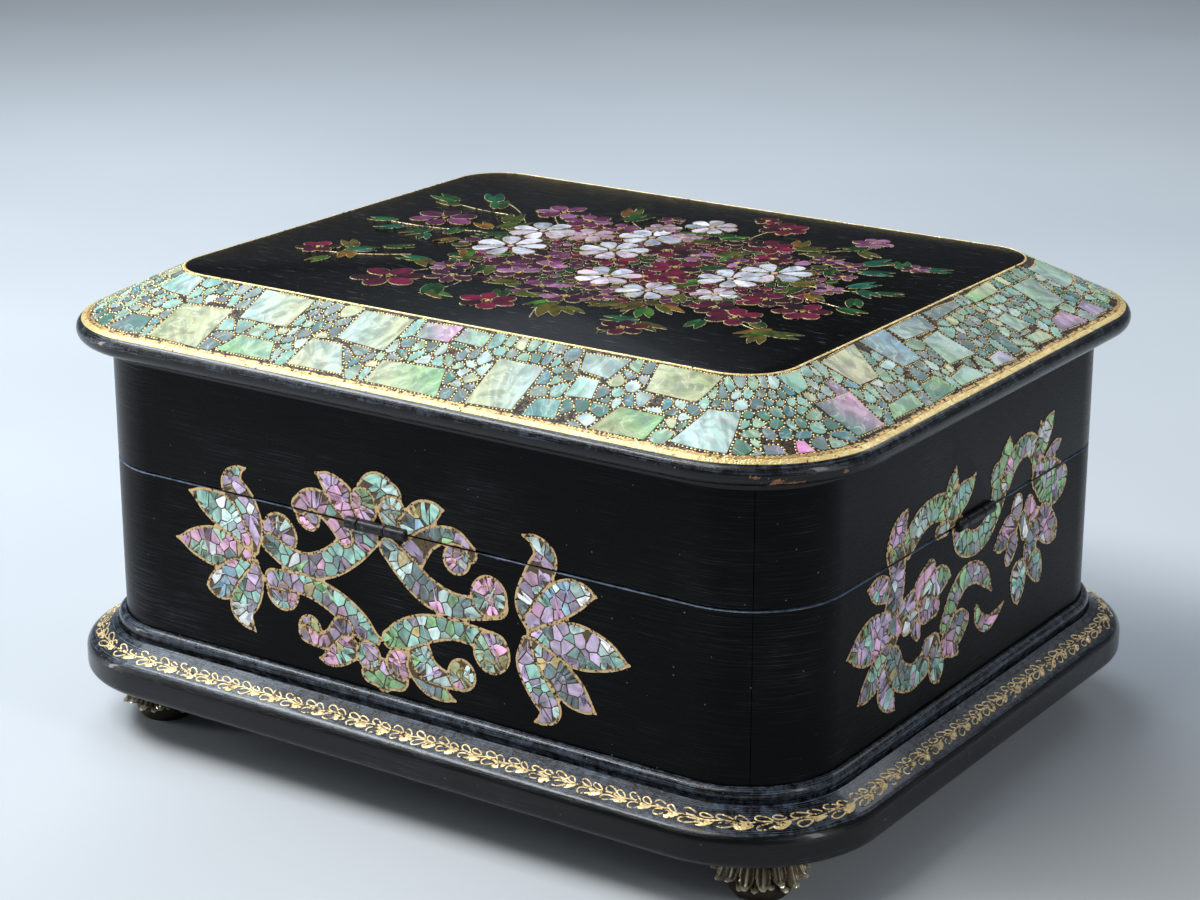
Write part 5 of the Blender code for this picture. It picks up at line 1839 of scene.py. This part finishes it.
def barrel_radius(run, length):
    """Radius along a barrel, from 0 to 1: a slight swell, two joints with raised lips, rounded ends."""
    radius = BARREL_RADIUS - BARREL_SWELL * np.sin(run * 9) ** 2
    for joint in CATCH_JOINTS:
        away = (run - joint) * length
        radius = radius - JOINT_DEPTH * np.exp(-(away / JOINT_WIDTH) ** 2)
        radius = radius + LIP_RISE * np.exp(-((np.abs(away) - LIP_PLACE) / LIP_WIDTH) ** 2)
    end = np.minimum(run, 1 - run) * length
    round_end = np.clip(1 - np.clip(1 - end / END_ROUND, 0, 1) ** 2 * 0.6, 0, 1)
    return np.minimum(radius, BARREL_RADIUS) * np.sqrt(round_end)


def add_catches():
    """Turned barrels: a radius carried along the axis, from left to right as seen from outside."""
    run = np.linspace(0, 1, BARREL_STATIONS)
    angle = np.linspace(0, math.tau, BARREL_SIDES, endpoint=False)[None, :]
    for name in CATCHES:
        low, high = corners(name)
        axis, along_x, sign = barrel_axis(low, high)
        length = (high - low)[0 if along_x else 1]
        radius = barrel_radius(run, length)[:, None]
        direction = 1 if sign * (1 if along_x else -1) < 0 else -1
        place = direction * (run[:, None] - 0.5) * length + 0 * angle
        ring = [place, radius * np.cos(angle), radius * np.sin(angle)]
        if not along_x:
            ring = [-ring[1], ring[0], ring[2]]
        points = np.stack(ring, -1).reshape(-1, 3) + axis
        circle = np.arange(BARREL_SIDES)[None, :]
        caps = [circle[:, ::-1], (BARREL_STATIONS - 1) * BARREL_SIDES + circle]
        faces = [grid_faces(BARREL_STATIONS, BARREL_SIDES), *caps]
        if direction > 0:
            faces = [group[:, ::-1] for group in faces]
        add_piece(name + "_barrel", points, faces, [finish_of("iron")], "box", (name,))


def finish_hinges():
    """The hinges keep their solids and get the iron's finish."""
    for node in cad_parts.values():
        if node.name.startswith("hinge_"):
            node.data.materials.clear()
            node.data.materials.append(finish_of("iron"))


# Stage

CAMERA_TURN = 34.20
CAMERA_RISE = 18.14
CAMERA_DISTANCE = 0.9557
CAMERA_TARGET = (-0.0029, 0.0, 0.0902)
FOCAL_PIXELS = 2836.0
PICTURE_WIDTH = 1200
SENSOR = 36.0
FLOOR_HALF = 3000.0
LIGHT_TARGET = (0, 0, 0.09)
AIR = "#C4CEDA"
AIR_STRENGTH = 0.26
# Lights as (name, turn, rise, distance, size, watts, colour)
LIGHTS = (
    ("high_softbox", -20, 60, 1.5, (0.7, 0.5), 12.5, (1.0, 0.98, 0.95)),
    ("shelf_softbox", -109, 54, 1.5, (1.4, 0.45), 15, (0.76, 0.88, 1.0)),
    ("moulding_softbox", -60, 51, 1.5, (0.8, 0.2), 16, (0.90, 0.95, 1.0)),
    ("back_softbox", 172, 42, 1.7, (0.8, 0.3), 4, (0.86, 0.93, 1.0)),
    ("left_strip", -62, 12, 1.5, (0.12, 0.7), 7, (0.94, 0.97, 1.0)),
    ("right_strip", 82, 22, 1.6, (0.25, 0.8), 8, (0.95, 0.97, 1.0)),
)


def direction_of(turn, rise):
    """Unit vector turned from the front towards +X and raised from level, both in degrees."""
    turn, rise = math.radians(turn), math.radians(rise)
    return np.array([math.sin(turn) * math.cos(rise), -math.cos(turn) * math.cos(rise), math.sin(rise)])


def aim(item, place, target):
    """Points an object's -Z at the target, with +Y up."""
    item.location = place
    away = Vector(target) - Vector(place)
    item.rotation_euler = away.to_track_quat("-Z", "Y").to_euler()


def add_light(name, turn, rise, distance, size, power, colour):
    """A rectangular softbox aimed at the box."""
    lamp = bpy.data.lights.new(name, "AREA")
    lamp.shape = "RECTANGLE"
    lamp.size, lamp.size_y = size
    lamp.energy = power
    lamp.color = colour
    item = bpy.data.objects.new(name, lamp)
    bpy.context.scene.collection.objects.link(item)
    aim(item, direction_of(turn, rise) * distance, LIGHT_TARGET)


def add_stage():
    """Pale floor, soft light and the camera at the photograph's angle."""
    scene = bpy.context.scene
    square = np.array([[-1, -1, 0], [1, -1, 0], [1, 1, 0], [-1, 1, 0]]) * FLOOR_HALF
    mesh = bpy.data.meshes.new("studio_floor")
    mesh.from_pydata((square * MM).tolist(), [], [(0, 1, 2, 3)])
    mesh.materials.append(finish_of("floor"))
    floor = bpy.data.objects.new("studio_floor", mesh)
    scene.collection.objects.link(floor)

    world = bpy.data.worlds.new("studio_air")
    scene.world = world
    world.use_nodes = True
    back = world.node_tree.nodes["Background"]
    back.inputs["Color"].default_value = rgba(AIR)
    back.inputs["Strength"].default_value = AIR_STRENGTH
    for light in LIGHTS:
        add_light(*light)

    camera = bpy.data.cameras.new("camera")
    camera.sensor_width = SENSOR
    camera.lens = FOCAL_PIXELS / PICTURE_WIDTH * SENSOR
    camera.clip_start = 0.05
    item = bpy.data.objects.new("camera", camera)
    scene.collection.objects.link(item)
    place = np.array(CAMERA_TARGET) + direction_of(CAMERA_TURN, CAMERA_RISE) * CAMERA_DISTANCE
    aim(item, place, CAMERA_TARGET)
    scene.camera = item
    scene.view_settings.view_transform = "Standard"


# Panel, operators and registration


def millimetres(value, name, description):
    """A length property, with its default given in millimetres."""
    return bpy.props.FloatProperty(
        name=name, description=description, default=value * MM, unit="LENGTH", precision=5,
    )


class JewelryBoxSettings(bpy.types.PropertyGroup):
    shard_pitch: millimetres(
        4.5, "Shard pitch", "Mean distance between the small shards on the lid's border",
    )
    shard_gap: millimetres(
        0.85, "Shard gap", "Width of the gold line between the shards on the lid's border",
    )
    scroll_pitch: millimetres(3.7, "Scroll pitch", "Mean distance between the shards in the scrolls")
    scroll_gap: millimetres(0.42, "Scroll gap", "Width of the line between the shards in the scrolls")
    rim_width: millimetres(0.85, "Rim width", "Width of the gold rim round each scroll and leaf")
    spray_pitch: millimetres(4.6, "Spray pitch", "Mean distance between the packed shards of the bouquet")
    flower_line: millimetres(0.22, "Flower line", "Width of the gold line round each petal")


class JEWELRYBOX_OT_walls(bpy.types.Operator):
    """Body and lid walls in black lacquer"""

    bl_idname = "jewelry_box.walls"
    bl_label = "Lacquered Walls"

    def execute(self, context):
        add_walls()
        return {"FINISHED"}


class JEWELRYBOX_OT_plinth(bpy.types.Operator):
    """Moulded plinth in black lacquer"""

    bl_idname = "jewelry_box.plinth"
    bl_label = "Plinth"

    def execute(self, context):
        add_plinth()
        return {"FINISHED"}


class JEWELRYBOX_OT_lid_top(bpy.types.Operator):
    """Lid board with its rounded rim and gold ground"""

    bl_idname = "jewelry_box.lid_top"
    bl_label = "Lid Top"

    def execute(self, context):
        add_lid_top()
        return {"FINISHED"}


class JEWELRYBOX_OT_mosaic(bpy.types.Operator):
    """Slabs and shards of shell on the lid's border"""

    bl_idname = "jewelry_box.mosaic"
    bl_label = "Border Mosaic"

    def execute(self, context):
        add_mosaic()
        return {"FINISHED"}


class JEWELRYBOX_OT_gilding(bpy.types.Operator):
    """Gold bands along the border's edges"""

    bl_idname = "jewelry_box.gilding"
    bl_label = "Border Gilding"

    def execute(self, context):
        add_border_gilding()
        return {"FINISHED"}


class JEWELRYBOX_OT_front_scrolls(bpy.types.Operator):
    """Shell scrolls on the front"""

    bl_idname = "jewelry_box.front_scrolls"
    bl_label = "Front Scrolls"

    def execute(self, context):
        add_scrolls("front_scrolls", FRONT_SCROLLS, FRONT_CURLS, 0)
        return {"FINISHED"}


class JEWELRYBOX_OT_right_scrolls(bpy.types.Operator):
    """Shell scrolls on the right side"""

    bl_idname = "jewelry_box.right_scrolls"
    bl_label = "Right Scrolls"

    def execute(self, context):
        add_scrolls("right_scrolls", RIGHT_SCROLLS, (), 90)
        return {"FINISHED"}


class JEWELRYBOX_OT_hidden_scrolls(bpy.types.Operator):
    """Plainer shell scrolls on the left side and the back"""

    bl_idname = "jewelry_box.hidden_scrolls"
    bl_label = "Hidden Scrolls"

    def execute(self, context):
        add_hidden_scrolls()
        return {"FINISHED"}


class JEWELRYBOX_OT_bouquet(bpy.types.Operator):
    """Inlaid spray of flowers on the panel"""

    bl_idname = "jewelry_box.bouquet"
    bl_label = "Bouquet"

    def execute(self, context):
        add_bouquet()
        return {"FINISHED"}


class JEWELRYBOX_OT_vine(bpy.types.Operator):
    """Gold vine on the plinth's shelf"""

    bl_idname = "jewelry_box.vine"
    bl_label = "Plinth Vine"

    def execute(self, context):
        add_vine()
        return {"FINISHED"}


class JEWELRYBOX_OT_feet(bpy.types.Operator):
    """Cast acanthus feet"""

    bl_idname = "jewelry_box.feet"
    bl_label = "Feet"

    def execute(self, context):
        add_feet()
        return {"FINISHED"}


class JEWELRYBOX_OT_catches(bpy.types.Operator):
    """Turned barrels in the seam"""

    bl_idname = "jewelry_box.catches"
    bl_label = "Catches"

    def execute(self, context):
        add_catches()
        return {"FINISHED"}


class JEWELRYBOX_OT_hinges(bpy.types.Operator):
    """Blackened iron on the hinges"""

    bl_idname = "jewelry_box.hinges"
    bl_label = "Hinges"

    def execute(self, context):
        finish_hinges()
        return {"FINISHED"}


class JEWELRYBOX_OT_stage(bpy.types.Operator):
    """Floor, light and camera"""

    bl_idname = "jewelry_box.stage"
    bl_label = "Stage"

    def execute(self, context):
        add_stage()
        return {"FINISHED"}


OPERATORS = (
    JEWELRYBOX_OT_walls,
    JEWELRYBOX_OT_plinth,
    JEWELRYBOX_OT_lid_top,
    JEWELRYBOX_OT_mosaic,
    JEWELRYBOX_OT_gilding,
    JEWELRYBOX_OT_front_scrolls,
    JEWELRYBOX_OT_right_scrolls,
    JEWELRYBOX_OT_hidden_scrolls,
    JEWELRYBOX_OT_bouquet,
    JEWELRYBOX_OT_vine,
    JEWELRYBOX_OT_feet,
    JEWELRYBOX_OT_catches,
    JEWELRYBOX_OT_hinges,
    JEWELRYBOX_OT_stage,
)


class JEWELRYBOX_PT_panel(bpy.types.Panel):
    """Lists the pieces of the box's dressing."""

    bl_label = "Jewelry Box"
    bl_idname = "JEWELRYBOX_PT_panel"
    bl_space_type = "VIEW_3D"
    bl_region_type = "UI"
    bl_category = "Jewelry Box"

    def draw(self, context):
        for key in JewelryBoxSettings.__annotations__:
            self.layout.prop(context.scene.jewelry_box, key)
        for item in OPERATORS:
            self.layout.operator(item.bl_idname)


CLASSES = (JewelryBoxSettings, *OPERATORS, JEWELRYBOX_PT_panel)


def register():
    for item in CLASSES:
        bpy.utils.register_class(item)
    bpy.types.Scene.jewelry_box = bpy.props.PointerProperty(type=JewelryBoxSettings)


def unregister():
    del bpy.types.Scene.jewelry_box
    for item in reversed(CLASSES):
        bpy.utils.unregister_class(item)


def main():
    register()
    for item in OPERATORS:
        getattr(bpy.ops.jewelry_box, item.bl_idname.split(".")[1])()


if __name__ == "__main__":
    main()
